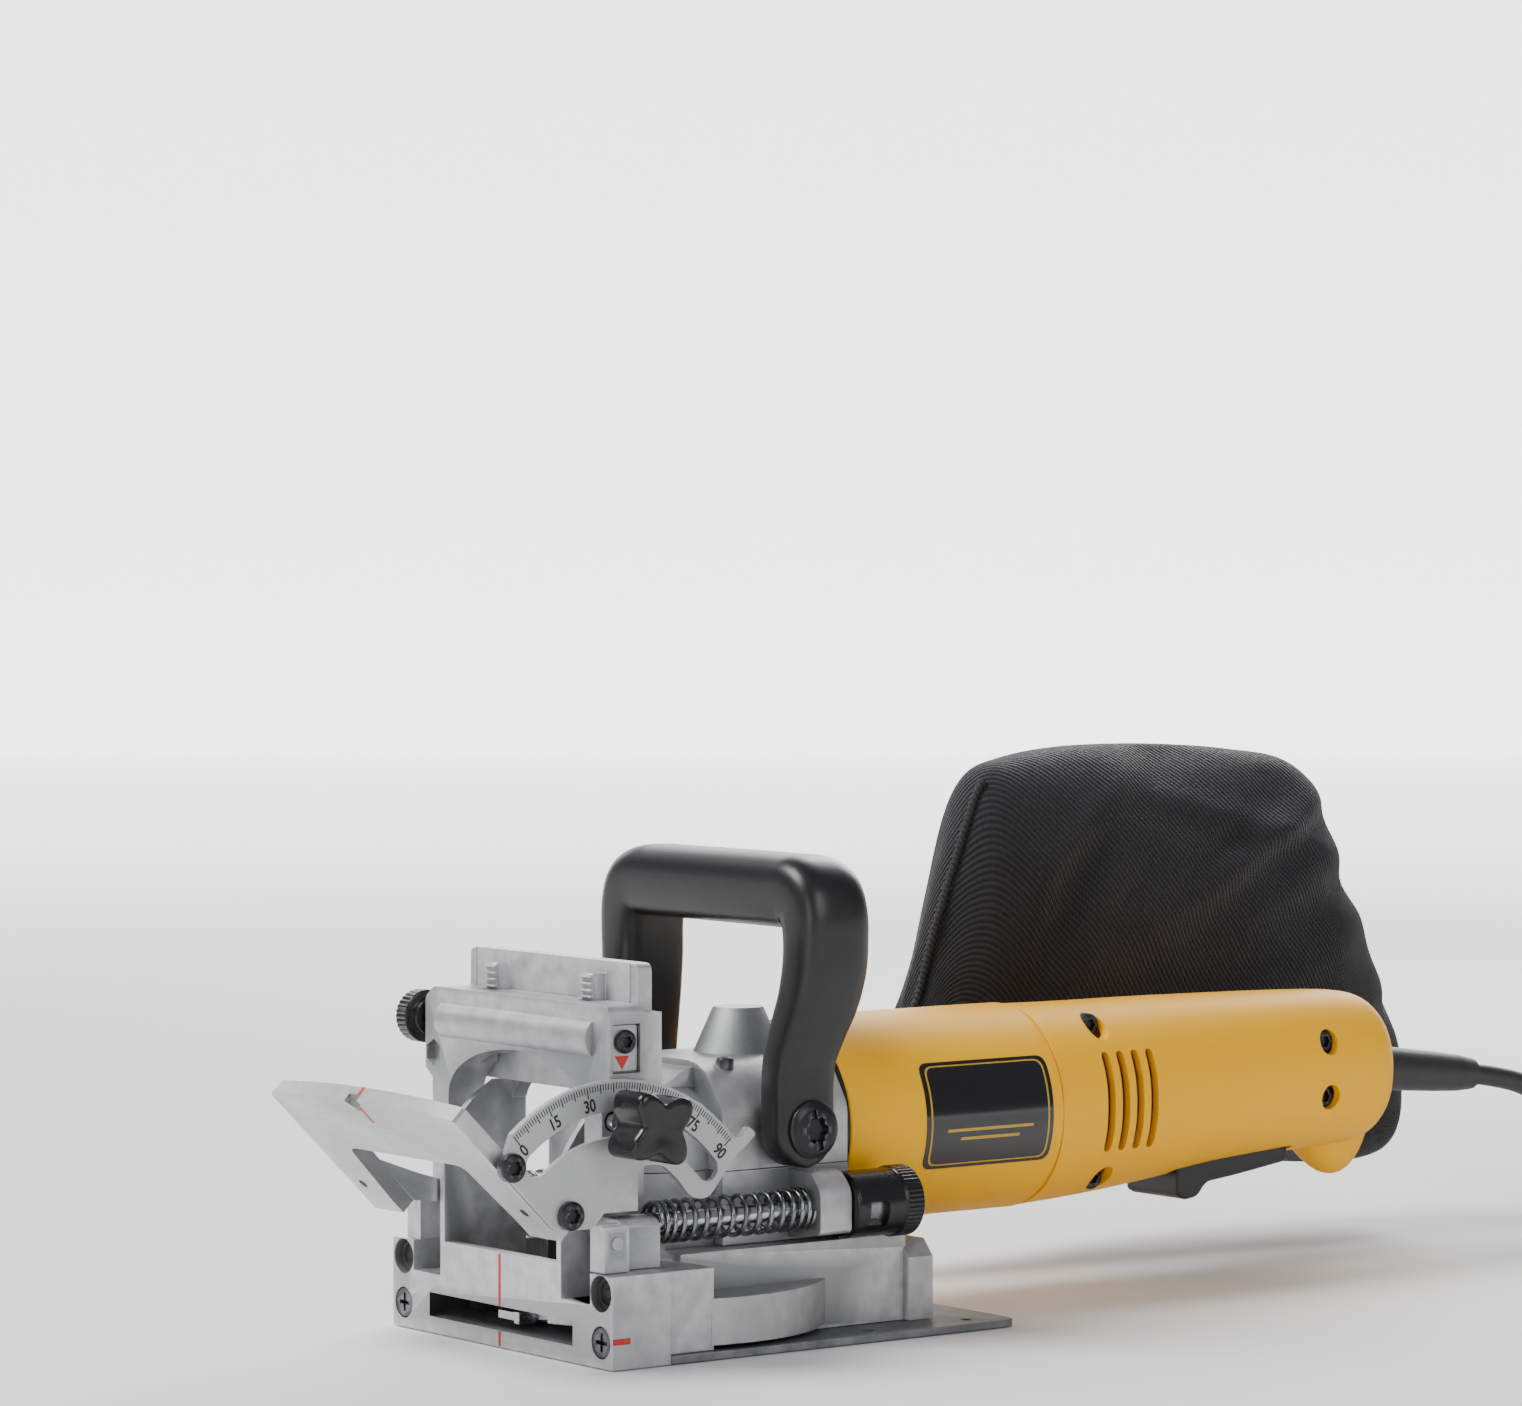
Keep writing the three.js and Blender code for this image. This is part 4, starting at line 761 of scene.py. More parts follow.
@dataclass
class Studio:
    """The pale floor, the soft lights and the camera."""

    camera_at: tuple[float, float, float] = (1445.08, -969.82, 260.68)
    azimuth: float = 53.3
    pitch: float = 1.5995
    lens: float = 125.36
    floor_size: float = 12.0

    def build(self) -> None:
        """Make the camera, the floor and the lights."""
        self.camera()
        self.floor()
        self.backdrop()
        self.lights()

    def camera(self) -> None:
        """A long lens level with the tool, from its front right."""
        data = bpy.data.cameras.new("view")
        data.lens, data.sensor_width, data.clip_end = self.lens, 36.0, 50.0
        camera = linked("view", data)
        camera.location = to_row(np.array(self.camera_at))
        camera.rotation_euler = (math.radians(90 - self.pitch), 0.0, math.radians(self.azimuth))
        bpy.context.scene.camera = camera

    def floor(self) -> None:
        """A wide pale floor that glows away from the tool, so that its far part turns white."""
        half = self.floor_size / 2
        mesh = bpy.data.meshes.new("floor")
        mesh.from_pydata([(-half, -half, 0), (half, -half, 0), (half, half, 0), (-half, half, 0)], [],
                         [(0, 1, 2, 3)])
        floor = linked("floor", mesh)
        floor.location = (0, 0, -0.0004)
        material, tree, shader = new_material("pale floor")
        cloud = tree.node("TexNoise", Scale=3.0, Detail=3.0)
        tint = tree.node("Mix", {"data_type": "RGBA"}, i0=cloud.outputs[0], i6=(0.86, 0.86, 0.86, 1),
                         i7=(0.9, 0.9, 0.9, 1))
        material.node_tree.links.new(tint.outputs[2], shader.inputs["Base Color"])
        reach = tree.node("VectorMath", {"operation": "LENGTH"}, i0=tree.node("TexCoord").outputs["Object"])
        glow = tree.node("MapRange", {"interpolation_type": "SMOOTHSTEP"}, i0=reach.outputs["Value"], i1=0.5,
                         i2=3.2)
        light = tree.node("Mix", {"data_type": "RGBA"}, i0=glow.outputs[0], i6=(0, 0, 0, 1), i7=(1, 1, 1, 1))
        material.node_tree.links.new(light.outputs[2], shader.inputs["Emission Color"])
        shader.inputs["Emission Strength"].default_value = 1.9
        shader.inputs["Roughness"].default_value = 0.75
        mesh.materials.append(material)

    def backdrop(self) -> None:
        """A far white sheet behind the tool, as seen by the camera, that gives its own even light."""
        turn = math.radians(self.azimuth)
        away = np.array([-math.sin(turn), math.cos(turn), 0.0]) * 5.2
        side = np.array([math.cos(turn), math.sin(turn), 0.0]) * 4.5
        low, high = np.array([0, 0, -0.4]), np.array([0, 0, 4.0])
        corners = [away - side + low, away + side + low, away + side + high, away - side + high]
        mesh = bpy.data.meshes.new("backdrop")
        mesh.from_pydata([tuple(c) for c in corners], [], [(0, 3, 2, 1)])
        sheet = linked("backdrop", mesh)
        material, _, shader = new_material("white sheet")
        shader.inputs["Base Color"].default_value = (0.9, 0.9, 0.9, 1)
        shader.inputs["Emission Color"].default_value = (1, 1, 1, 1)
        shader.inputs["Emission Strength"].default_value = 2.2
        mesh.materials.append(material)

    def lights(self) -> None:
        """A bright even sky, a large soft key from the upper left, a fill and a rim."""
        world = bpy.data.worlds.new("studio")
        bpy.context.scene.world = world
        world.use_nodes = True
        sky = world.node_tree.nodes["Background"]
        sky.inputs[0].default_value = (0.93, 0.95, 1.0, 1.0)
        sky.inputs[1].default_value = 0.26
        target = Vector((0.0, 0.09, 0.07))
        for name, spot, size, power in (("key", (-0.45, -0.8, 1.35), 0.7, 30.0),
                                        ("fill", (1.6, 0.1, 0.9), 0.8, 9.0),
                                        ("rim", (-0.8, 1.2, 0.9), 0.7, 14.0),
                                        ("front", (0.9, -1.5, 0.5), 0.6, 5.0)):
            data = bpy.data.lights.new(name, "AREA")
            data.size, data.energy = size, power
            lamp = linked(name, data)
            lamp.location = spot
            lamp.rotation_euler = (target - Vector(spot)).to_track_quat("-Z", "Y").to_euler()


# ---------------------------------------------------------------- mains cord


@dataclass
class MainsCord:
    """The cord from the rear of the handle to its coil, with its strain relief, tie and plug."""

    radius: float = 4.0
    rest_height: float = 4.02
    pitch: float = 8.0
    coil: tuple[float, float] = (-22.0, 588.0)
    plug_at: tuple[float, float, float] = (-66.0, 588.0, 41.3)
    boot_start: tuple[float, float, float] = (0.0, 381.0, 70.7)
    boot_end: tuple[float, float, float] = (0.0, 442.0, 64.4)
    route: tuple[tuple[float, float, float], ...] = (
        (0, 442.4, 64.3), (0, 452, 63), (0.2, 466, 60), (0.8, 478, 55.2), (1.8, 488, 48.6),
        (3.2, 498.5, 40.6),
        (5, 505.5, 32), (7.2, 512.5, 23.4), (10, 520, 15.4), (13.6, 528, 9), (18, 536, 5.2), (23, 545, 4.1),
        (28, 556, 4.02), (32, 569, 4.02), (34.3, 583, 4.02))

    def build(self) -> None:
        """Make the strain relief, the cord, its tie and its plug."""
        self.boot()
        plug = self.plug()
        pins = self.pins()
        tie = self.tie()
        line = self.centreline()
        curve = bpy.data.curves.new("cord", "CURVE")
        curve.dimensions, curve.bevel_depth, curve.bevel_resolution = "3D", self.radius * MM, 5
        curve.use_fill_caps = True
        spline = curve.splines.new("POLY")
        spline.points.add(len(line) - 1)
        metres = to_row(line)
        weighted = np.column_stack([metres, np.ones(len(line))])
        spline.points.foreach_set("co", weighted.astype(np.float32).ravel())
        cord = linked("mains_cord", curve)
        curve.materials.append(RUBBER.build())
        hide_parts("cord_tube", "cord_coil")
        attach(cord, Body.MOTOR.value)

    def centreline(self) -> Array:
        """The whole route: the loose run, then turns whose radius and height step over between layers.

        Returns:
            (n, 3) points in millimetres.
        """
        run = smooth_line(self.route, 90)
        degrees = np.arange(0.0, 2316.0, 6.0)
        radius = 56.3 - 8.3 * self._ease(degrees, 0, 60)
        for start, way in ((355, -1), (945, 1), (1535, -1), (2125, 1)):
            radius += way * self.pitch * self._ease(degrees, start, start + 65)
        layers = sum(self._ease(degrees, start, start + 65) for start in (650, 1240, 1830))
        height = self.rest_height + self.pitch * layers + 13.2 * self._ease(degrees, 2222, 2312)
        angle = np.radians(degrees)
        turns = np.column_stack([self.coil[0] + radius * np.cos(angle), self.coil[1] + radius * np.sin(angle),
                                 height])
        tail = np.array([[-66.0, 608.0, 41.25], [-66.0, 604.0, 41.3]])
        return np.vstack([run, turns[1:], tail])

    def _ease(self, value: Array, start: float, end: float) -> Array:
        """A smooth step from 0 at start to 1 at end."""
        t = np.clip((value - start) / (end - start), 0, 1)
        return t * t * (3 - 2 * t)

    def boot(self) -> None:
        """The strain relief: a smooth tapered sleeve with a small collar at the housing."""
        start, end = np.array(self.boot_start), np.array(self.boot_end)
        length = float(np.linalg.norm(end - start))
        station = np.linspace(0, length, 121)
        taper = np.interp(station, [0, 3.5, 5, 22, 42, 54, length], [9.0, 9.0, 8.3, 8.1, 7.5, 6.9, 5.9])
        profile = np.column_stack([taper, station])
        profile = np.vstack([[0, 0], profile, [[4.3, length + 0.2], [0, length - 1]]])
        boot = turned("strain_relief", profile, start, end - start, 40)
        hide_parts("cord_boot")
        finish_piece(boot, Body.MOTOR, RUBBER)

    def plug(self) -> Piece:
        """The plug's body: a squared section that swells to the grip and narrows to the cord."""
        x, y, mid = self.plug_at
        stations = smooth_line([[20, 5, 5], [16, 5.4, 5.4], [11, 6.2, 6.0], [6, 7.5, 6.8], [2, 10.2, 8.4],
                                [-3, 11.6, 9], [-10, 12, 9], [-14, 11.8, 8.8], [-15.5, 11.2, 8.2]], 44)
        path = np.column_stack([np.full(44, x), y + stations[:, 0], np.full(44, mid)])
        plug = swept("plug_body", path, stations[:, 1:], (0, 0, 1), power=3.2, segments=40)
        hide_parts("plug")
        return finish_piece(plug, Body.MOTOR, KNOB_BLACK)

    def pins(self) -> Piece:
        """The plug's two flat blades."""
        x, y, mid = self.plug_at
        pins = boxes("plug_blades", np.array([[x + 6.35, y - 23.2, mid], [x - 6.35, y - 23.2, mid]]),
                     np.array([[0.75, 8.6, 3.1]] * 2))
        ease(pins, 0.3)
        return finish_piece(pins, Body.MOTOR, BRIGHT_STEEL)

    def tie(self) -> Piece:
        """A soft strap round the wound turns: a rounded oblong band carried round the section of the coil."""
        angle = np.radians(250.0)
        out = np.array([math.cos(angle), math.sin(angle), 0.0])
        along = np.array([-out[1], out[0], 0.0])
        centre = np.array([*self.coil, 0.0]) + 44.0 * out + (0, 0, 16.0)
        turn = np.linspace(0, TAU, 64, endpoint=False)
        a, b = superellipse(turn, 4.0)
        band = [(8.3, 16.0, -4.5), (9.1, 16.9, -4.5), (9.1, 16.9, 4.5), (8.3, 16.0, 4.5)]
        up = np.array([0, 0, 1.0])
        grid = np.array([centre + w * along + (r * a)[:, None] * out + (h * b)[:, None] * up
                         for r, h, w in band])
        grid[..., 2] = np.maximum(grid[..., 2], 0.02)
        tie = skin("cord_tie", grid, wrap_rows=True)
        return finish_piece(tie, Body.MOTOR, THREAD)


# ---------------------------------------------------------------- motor unit


@dataclass
class MotorUnit:
    """The gearcase, the yellow housing and grip, the bail handle and what is on them."""

    housing_radius: float = 36.0
    housing: tuple[float, float] = (118.9, 211.9)
    wall: float = 3.0
    panel: tuple[float, float] = (179.0, 2.0)
    wells: tuple[tuple[float, float, float], ...] = (
        (20.5, 346, 63.5), (20.5, 346, 83.5), (16.5, 237.5, 95.0), (16.5, 239.0, 41.0))
    sections: tuple[tuple[float, float, float, float], ...] = (
        (212.2, 67, 35.4, 35.4), (240, 67.6, 34.4, 34), (270, 69, 33, 32), (300, 70.5, 31.2, 30),
        (346, 71.5, 29.4, 27.4),
        (372, 71.5, 28, 25.4), (381.2, 71.5, 24.5, 22), (385, 71.3, 18.5, 16.5))

    def build(self) -> None:
        """Make every visible piece of the motor unit."""
        for node, name in (("gearcase_upper", "gearcase_top"), ("gearcase_lower", "gearcase_bottom")):
            finish_piece(eased_copy(node, name, 0.7), Body.MOTOR, DIE_CAST)
        finish_piece(eased_copy("spindle_shroud", "blade_shroud", 0.5), Body.MOTOR,
                     SATIN_BLACK)
        self.motor_tube()
        for side in Side:
            self.grip_half(side)
            self.label(side)
            self.body_screws(side)
            self.bail_screw(side)
        self.finger_guard()
        self.bail()
        self.turret()
        self.paddle()
        self.case_screws()

    def motor_tube(self) -> None:
        """The housing round the motor, with a thin black joint ahead of it."""
        r, (front, rear) = self.housing_radius, self.housing
        profile = rounded_profile([[r - 4.2, front], [r - 0.4, front, 0.8], [r, front + 5, 2], [r, rear, 0.6],
                                   [r - 4.2, rear]], closed=True)
        tube = turned("motor_tube", profile, (0, 0, SHAFT_HEIGHT), (0, 1, 0), 120, ring=True)
        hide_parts("motor_housing", "fan_shroud")
        finish_piece(tube, Body.MOTOR, YELLOW)
        joint = turned("housing_joint", [[30, 117.2], [r - 1.1, 117.2], [r - 1.1, front + 0.4],
                                         [30, front + 0.4]], (0, 0, SHAFT_HEIGHT), (0, 1, 0), 96, ring=True)
        finish_piece(joint, Body.MOTOR, SATIN_BLACK)

    def _half_ring(self, inset: float, side: Side, rows: Array, count: int) -> Array:
        """Half superellipses, one to a row of (station, height, half height, half width), less the inset."""
        angle = np.linspace(-math.pi / 2, math.pi / 2, count)[None, :]
        a, b = superellipse(angle, 2.2)
        x = side.value * (0.15 + (rows[:, 3:] - inset) * a)
        z = rows[:, 1:2] + (rows[:, 2:3] - inset) * b
        return np.stack([x, rows[:, :1] * np.ones_like(angle), z], -1)

    def grip_half(self, side: Side) -> None:
        """One half of the grip: an outer and an inner half skin joined at both ends and along the split."""
        rows = smooth_line(self.sections, 90)
        rim = np.array([[385.3, 71.0, 14, 13], [385.2, 70.5, 9.6, 9.5]])
        outer_rows = np.vstack([rows, rim])
        outer = self._half_ring(0, side, outer_rows, 61)
        inner_rows = outer_rows.copy()
        inner_rows[:, 0] = np.minimum(inner_rows[:, 0], 382.0)
        inner_rows[0, 0] = rows[0, 0]
        inner_rows[-2:, 2:] += self.wall
        inner = self._half_ring(self.wall, side, inner_rows, 61)
        grid = np.concatenate([outer, inner[::-1]])
        count, columns = grid.shape[:2]
        faces = grid_faces(count, columns, wrap_rows=True, wrap_columns=False)
        i = np.arange(count // 2 - 1)
        for column in (0, columns - 1):
            edge = np.stack([i, i + 1, count - 2 - i, count - 1 - i], -1) * columns + column
            faces += edge.tolist()
        name = f"grip_{side.name.lower()}"
        shell = new_piece(name, grid.reshape(-1, 3), faces)
        cutters = [self._slot(f"vent{k}", side, y, 51.5, 86.5)
                   for k, y in enumerate((235.0, 242.0, 249.0, 256.0))]
        opening = rounded_profile([[-15.5, 280, 2], [15.5, 280, 2], [15.5, 338, 2], [-15.5, 338, 2]],
                                  closed=True)
        cutters.append(slab("paddle_gap", opening, Plane.XY, 20, 50))
        for k, (floor, y, z) in enumerate(self.wells):
            cutters.append(turned(f"well{k}", [[0, 0], [4.5, 0], [4.9, 20], [0, 20]],
                                  (side.value * floor, y, z), (side.value, 0, 0), 32))
        carve(shell, cutters)
        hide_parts(f"handle_shell_{side.name.lower()}")
        finish_piece(shell, Body.MOTOR, YELLOW)

    def _slot(self, name: str, side: Side, y: float, low: float, high: float) -> Piece:
        """A cutter for one vent: an upright slot with round ends."""
        half, turn = 1.8, np.linspace(0, math.pi, 9)
        top = np.column_stack([y + half * np.cos(turn), high - half + half * np.sin(turn)])
        bottom = np.column_stack([y - half * np.cos(turn), low + half - half * np.sin(turn)])
        near, far = sorted((side.value * 18, side.value * 44))
        return slab(name, np.vstack([top, bottom]), Plane.YZ, near, far)

    def finger_guard(self) -> None:
        """The rounded lobe under the rear of the grip that keeps the hand forward."""
        stations = smooth_line([[350, 45.5, 7.0], [354, 41.5, 8.4], [359, 36.8, 9.2], [365, 32.8, 9.6],
                                [370, 31.6, 9.6], [375, 33.2, 9.4], [379, 37.4, 9.0], [381.6, 43.0, 8.2],
                                [382.2, 47.0, 7.0]], 40)
        middle = 54.0
        path = np.column_stack([np.zeros(40), stations[:, 0], np.full(40, middle)])
        sizes = np.column_stack([stations[:, 2], middle - stations[:, 1]])
        guard = swept("finger_guard", path, sizes, (0, 0, 1), power=2.6, segments=48)
        finish_piece(guard, Body.MOTOR, YELLOW)

    def label(self, side: Side) -> None:
        """A gloss panel let into the housing, with a plain border and bars.

        Each point lies on a rounded oblong in the panel's own plane, wrapped round the housing's axis.
        """
        frame_line = rounded_profile([[-28, -18, 3.5], [28, -18, 3.5], [28, 18, 3.5], [-28, 18, 3.5]],
                                     closed=True)
        outline = even_steps(frame_line, 144)
        rho = np.append(np.linspace(0, 1, 12), 1.0)
        rise = np.append(np.full(11, 0.3), [0.22, -0.3])
        piece = skin(f"panel_{side.name.lower()}", self._wrapped(side, outline, rho, rise, 0.0))
        finish_piece(piece, Body.MOTOR, PANEL_BLACK)
        border = self._wrapped(side, outline, np.array([0.91, 0.935, 0.935, 0.91]),
                               np.array([0.34, 0.34, 0.2, 0.2]), 0.0)
        finish_piece(skin(f"panel_border_{side.name.lower()}", border, wrap_rows=True), Body.MOTOR,
                     PANEL_LINE)
        for k, (height, half) in enumerate(((-5.0, 19.0), (-8.0, 13.0))):
            bar = even_steps(np.array([[-half, -0.5], [half, -0.5], [half, 0.5], [-half, 0.5]]), 64)
            grid = self._wrapped(side, bar, np.array([0.0, 1.0, 1.0]), np.array([0.34, 0.34, 0.2]), height)
            finish_piece(skin(f"panel_bar_{k}_{side.name.lower()}", grid), Body.MOTOR,
                         PANEL_LINE)

    def _wrapped(self, side: Side, outline: Array, rho: Array, rise: Array, lift: float) -> Array:
        """An outline shrunk by each rho about the panel's middle, on circles that rise above the housing.

        Args:
            side: which side of the tool.
            outline: (n, 2) points along Y and up.
            rho: the share of the outline's size, one to a row.
            rise: the height above the housing's skin, one to a row.
            lift: how far the outline's middle is above the panel's.

        Returns:
            (rows, n, 3) points.
        """
        along = self.panel[0] + rho[:, None] * outline[:, 0]
        up = self.panel[1] + lift + rho[:, None] * outline[:, 1]
        turn = np.arcsin(up / self.housing_radius)
        level = self.housing_radius + rise[:, None]
        return np.stack([side.value * level * np.cos(turn), along, SHAFT_HEIGHT + level * np.sin(turn)], -1)

    def body_screws(self, side: Side) -> None:
        """Small dark screws sunk in the grip's shoulders and wells."""
        for k, (floor, y, z) in enumerate(self.wells):
            socket_screw(f"grip_screw_{side.name.lower()}_{k}", (side.value * (floor + 0.5), y, z),
                         (side.value, 0, 0), 4.2, 2.6, Body.MOTOR)

    def bail(self) -> None:
        """The bail handle: a squared section along a smooth loop, with round feet over the handle screws."""
        path = [[44.8, 89, 70, 7.3, 12.5], [44.8, 89, 77, 7.3, 12.5], [44.8, 89, 84, 7.3, 12.5],
                [45.2, 89.7, 94, 7.5, 12.6], [47.6, 91.6, 104, 8.2, 13.1], [50.4, 93.6, 114, 9.1, 13.7],
                [52, 94.8, 124, 9.7, 14], [52.4, 95, 133, 10.0, 14], [51.7, 95, 140.4, 10.8, 14],
                [48.8, 95, 146.0, 11.9, 14], [43.4, 95, 148.5, 12.3, 14], [36, 95, 148.7, 12.3, 14],
                [20, 95, 148.8, 12.3, 14], [0, 95, 148.8, 12.3, 14]]
        right = smooth_line(path, 90)
        drop = np.radians(np.linspace(88, 8, 14))
        foot = np.column_stack([np.full(14, 44.8), np.full(14, 89.0), 70 - 12.4 * np.sin(drop),
                                np.full(14, 7.3), 12.5 * np.cos(drop)])
        foot[:, 3] = 7.3 - 1.6 * (np.sin(drop) ** 8)
        half = np.vstack([foot, right])
        left = half[-2::-1] * (-1, 1, 1, 1, 1)
        rows = np.vstack([half, left])
        bail = swept("bail", rows[:, :3], rows[:, 3:], (0, 1, 0), power=3.3, segments=56)
        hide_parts("bail_handle")
        finish_piece(bail, Body.MOTOR, SATIN_BLACK)

    def bail_screw(self, side: Side) -> None:
        """The broad low screw in one foot of the bail: a domed head, a six-lobed socket and a slot."""
        s = side.value
        profile = rounded_profile([[0, 0.4], [9.8, 0.4, 0.2], [9.7, 1.2, 0.4], [7.6, 2.5, 1.0],
                                   [4.4, 2.9, 0.4], [3.6, 0.9], [0, 0.9]])
        head = turned(f"bail_screw_{side.name.lower()}", profile, (s * 52.0, 89.9, 70.5), (s, 0, 0), 72,
                      ripple=lobes(4.6, 0.6, 0.14))
        slot = boxes("slot", np.array([[s * 55.0, 89.9, 70.5]]), np.array([[1.3, 1.1, 7.0]]),
                     np.array([0.25]))
        carve(head, [slot])
        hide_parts(f"handle_screw_{side.name.lower()}")
        finish_piece(head, Body.MOTOR, BLACK_OXIDE)

    def turret(self) -> None:
        """The depth turret: a smooth barrel with a stepped window and a knurled ring at its rear."""
        profile = rounded_profile([[4.3, 104.6], [10.6, 104.6, 0.5], [11.3, 105.4, 0.4], [11.3, 124.4, 0.2],
                                   [12, 125, 0.3], [12, 131.8, 0.5], [8.6, 131.9, 0.3], [8.4, 130.2, 0.2],
                                   [4.3, 130.2]], closed=True)
        barrel = turned("turret", profile, (ROD_AT, 0, ROD_HEIGHT), (0, 1, 0), 176,
                        ripple=ribs(125.2, 131.6, 11.5, 22, 0.28), ring=True, sharp=30)
        window = slab("window", np.array([[109.5, 37], [117.5, 37], [117.5, 45.5], [109.5, 45.5]]), Plane.YZ,
                      55.0, 62.0)
        carve(barrel, [window])
        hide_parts("depth_turret")
        finish_piece(barrel, Body.TURRET, KNOB_BLACK)
        stop = turned("turret_stop", [[4.5, 108], [9.0, 108], [9.0, 120], [4.5, 120]],
                      (ROD_AT, 0, ROD_HEIGHT), (0, 1, 0), 40, ring=True)
        finish_piece(stop, Body.TURRET, SPRING_STEEL)

    def paddle(self) -> None:
        """The long switch paddle under the grip."""
        outline = rounded_profile([[283.2, 30.8, 1.4], [283.2, 43.2, 1], [300, 44.3], [330, 46.2, 2],
                                   [336.2, 44.8, 1], [336, 39.8, 2], [312, 36.4, 4], [297, 34.8, 3],
                                   [293, 29.8, 2], [287, 29, 1.5]], closed=True, steps=6)
        paddle = slab("paddle_lever", outline, Plane.YZ, -14.1, 14.1, bevel=1.6)
        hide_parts("paddle_switch")
        finish_piece(paddle, Body.PADDLE, SATIN_BLACK)

    def case_screws(self) -> None:
        """Socket screws that close the gearcase: two at the nose and two behind it."""
        for k, (x, y, z) in enumerate(((24.5, 74, 92.0), (-24.5, 74, 92.0), (25.5, 108, 91.9),
                                       (-25.5, 108, 91.9))):
            socket_screw(f"case_screw_{k}", (x, y, z - 1.0), (0, 0, 1), 3.0, 2.4, Body.MOTOR)


# ---------------------------------------------------------------- base


@dataclass
class Base:
    """The slotted front casting with its tower, the blade housing, the plate, and the sprung guide rods."""

    spring_turns: int = 15
    wire: float = 0.85
    spring_radius: float = 6.45

    def build(self) -> None:
        """Make every visible piece of the base."""
        cast = (("front_casting", "front_block", 0.5, FACED_CAST), ("rack_plate", "rack_bar", 0.4, DIE_CAST),
                ("base_casting", "blade_housing", 0.7, DIE_CAST))
        posts = (("rod_post_left", "post_left", 0.5, DIE_CAST),
                 ("rod_post_right", "post_right", 0.5, DIE_CAST))
        screws = tuple((f"base_screw_{s}", f"face_screw_{s}", 0.2, BLACK_OXIDE) for s in ("left", "right"))
        plate = (("base_plate", "sole_plate", 0.3, PLATE_GREY),)
        for slot, copies in (("cast_base", cast), ("plate_coating", plate), ("cast_base", posts),
                             ("black_steel", screws)):
            for node, name, width, finish in copies:
                finish_piece(eased_copy(node, name, width), Body.BASE, finish)
        for side in Side:
            self.rod(side)
            self.spring(side)
            self.pin(side)
        self.marks()

    def rod(self, side: Side) -> None:
        """A ground guide rod with chamfered ends."""
        end = 105.2 if side is Side.RIGHT else 117.8
        profile = rounded_profile([[0, 14.1], [2.6, 14.1, 0.2], [3.2, 14.9, 0.2], [3.2, end - 0.8, 0.2],
                                   [2.6, end, 0.2], [0, end]])
        rod = turned(f"rod_{side.name.lower()}", profile, (side.value * ROD_AT, 0, ROD_HEIGHT), (0, 1, 0), 40)
        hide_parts(f"guide_rod_{side.name.lower()}")
        finish_piece(rod, Body.BASE, BRIGHT_STEEL)

    def spring(self, side: Side) -> None:
        """A return spring: round wire on a helix whose end turns lie close, tapered at each tip."""
        turns, wire, coil = self.spring_turns, self.wire, self.spring_radius
        t = np.linspace(0, 1, turns * 26 + 1)
        start, end = 26.7 + wire, 90.5 - wire
        rise = 0.55 * (0.5 - 0.5 * np.cos(math.pi * t)) + 0.45 * t
        angle = TAU * turns * t * side.value
        path = np.column_stack([side.value * ROD_AT + coil * np.cos(angle), start + (end - start) * rise,
                                ROD_HEIGHT + coil * np.sin(angle)])
        size = np.full((len(t), 2), wire)
        size[:4] *= np.array([0.5, 0.75, 0.9, 1.0])[:, None]
        size[-4:] *= np.array([1.0, 0.9, 0.75, 0.5])[:, None]
        spring = swept(f"spring_{side.name.lower()}", path, size, (0, 1, 0), segments=12)
        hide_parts(f"return_spring_{side.name.lower()}")
        finish_piece(spring, Body.BASE, SPRING_STEEL)
        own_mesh(spring)

    def pin(self, side: Side) -> None:
        """An anti-slip pin: a rubber plug with a dished face round a small boss."""
        profile = rounded_profile([[0, 3.0], [1.5, 3.0, 0.3], [1.9, 3.8, 0.3], [3.6, 3.8, 0.4],
                                   [4.0, 2.5, 0.3], [5.3, 2.5, 0.5], [5.3, 17], [0, 17]])
        pin = turned(f"grip_pin_{side.name.lower()}", profile, (side.value * 58, 0, 24), (0, 1, 0), 44)
        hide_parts(f"anti_slip_pin_{side.name.lower()}")
        finish_piece(pin, Body.PIN_RIGHT if side is Side.RIGHT else Body.PIN_LEFT, RUBBER)

    def marks(self) -> None:
        """Red setting marks on the front face's centre line and on both sides at blade height."""
        centres = np.array([[0, -0.02, 22.3], [0, -0.02, 2.8], [64.62, 3.6, 9.1], [-64.62, 3.6, 9.1]])
        halves = np.array([[0.7, 0.05, 8.6], [0.7, 0.05, 2.5], [0.05, 3.4, 1.0], [0.05, 3.4, 1.0]])
        finish_piece(boxes("setting_marks", centres, halves), Body.BASE, RED_MARK)


# ---------------------------------------------------------------- fence carrier


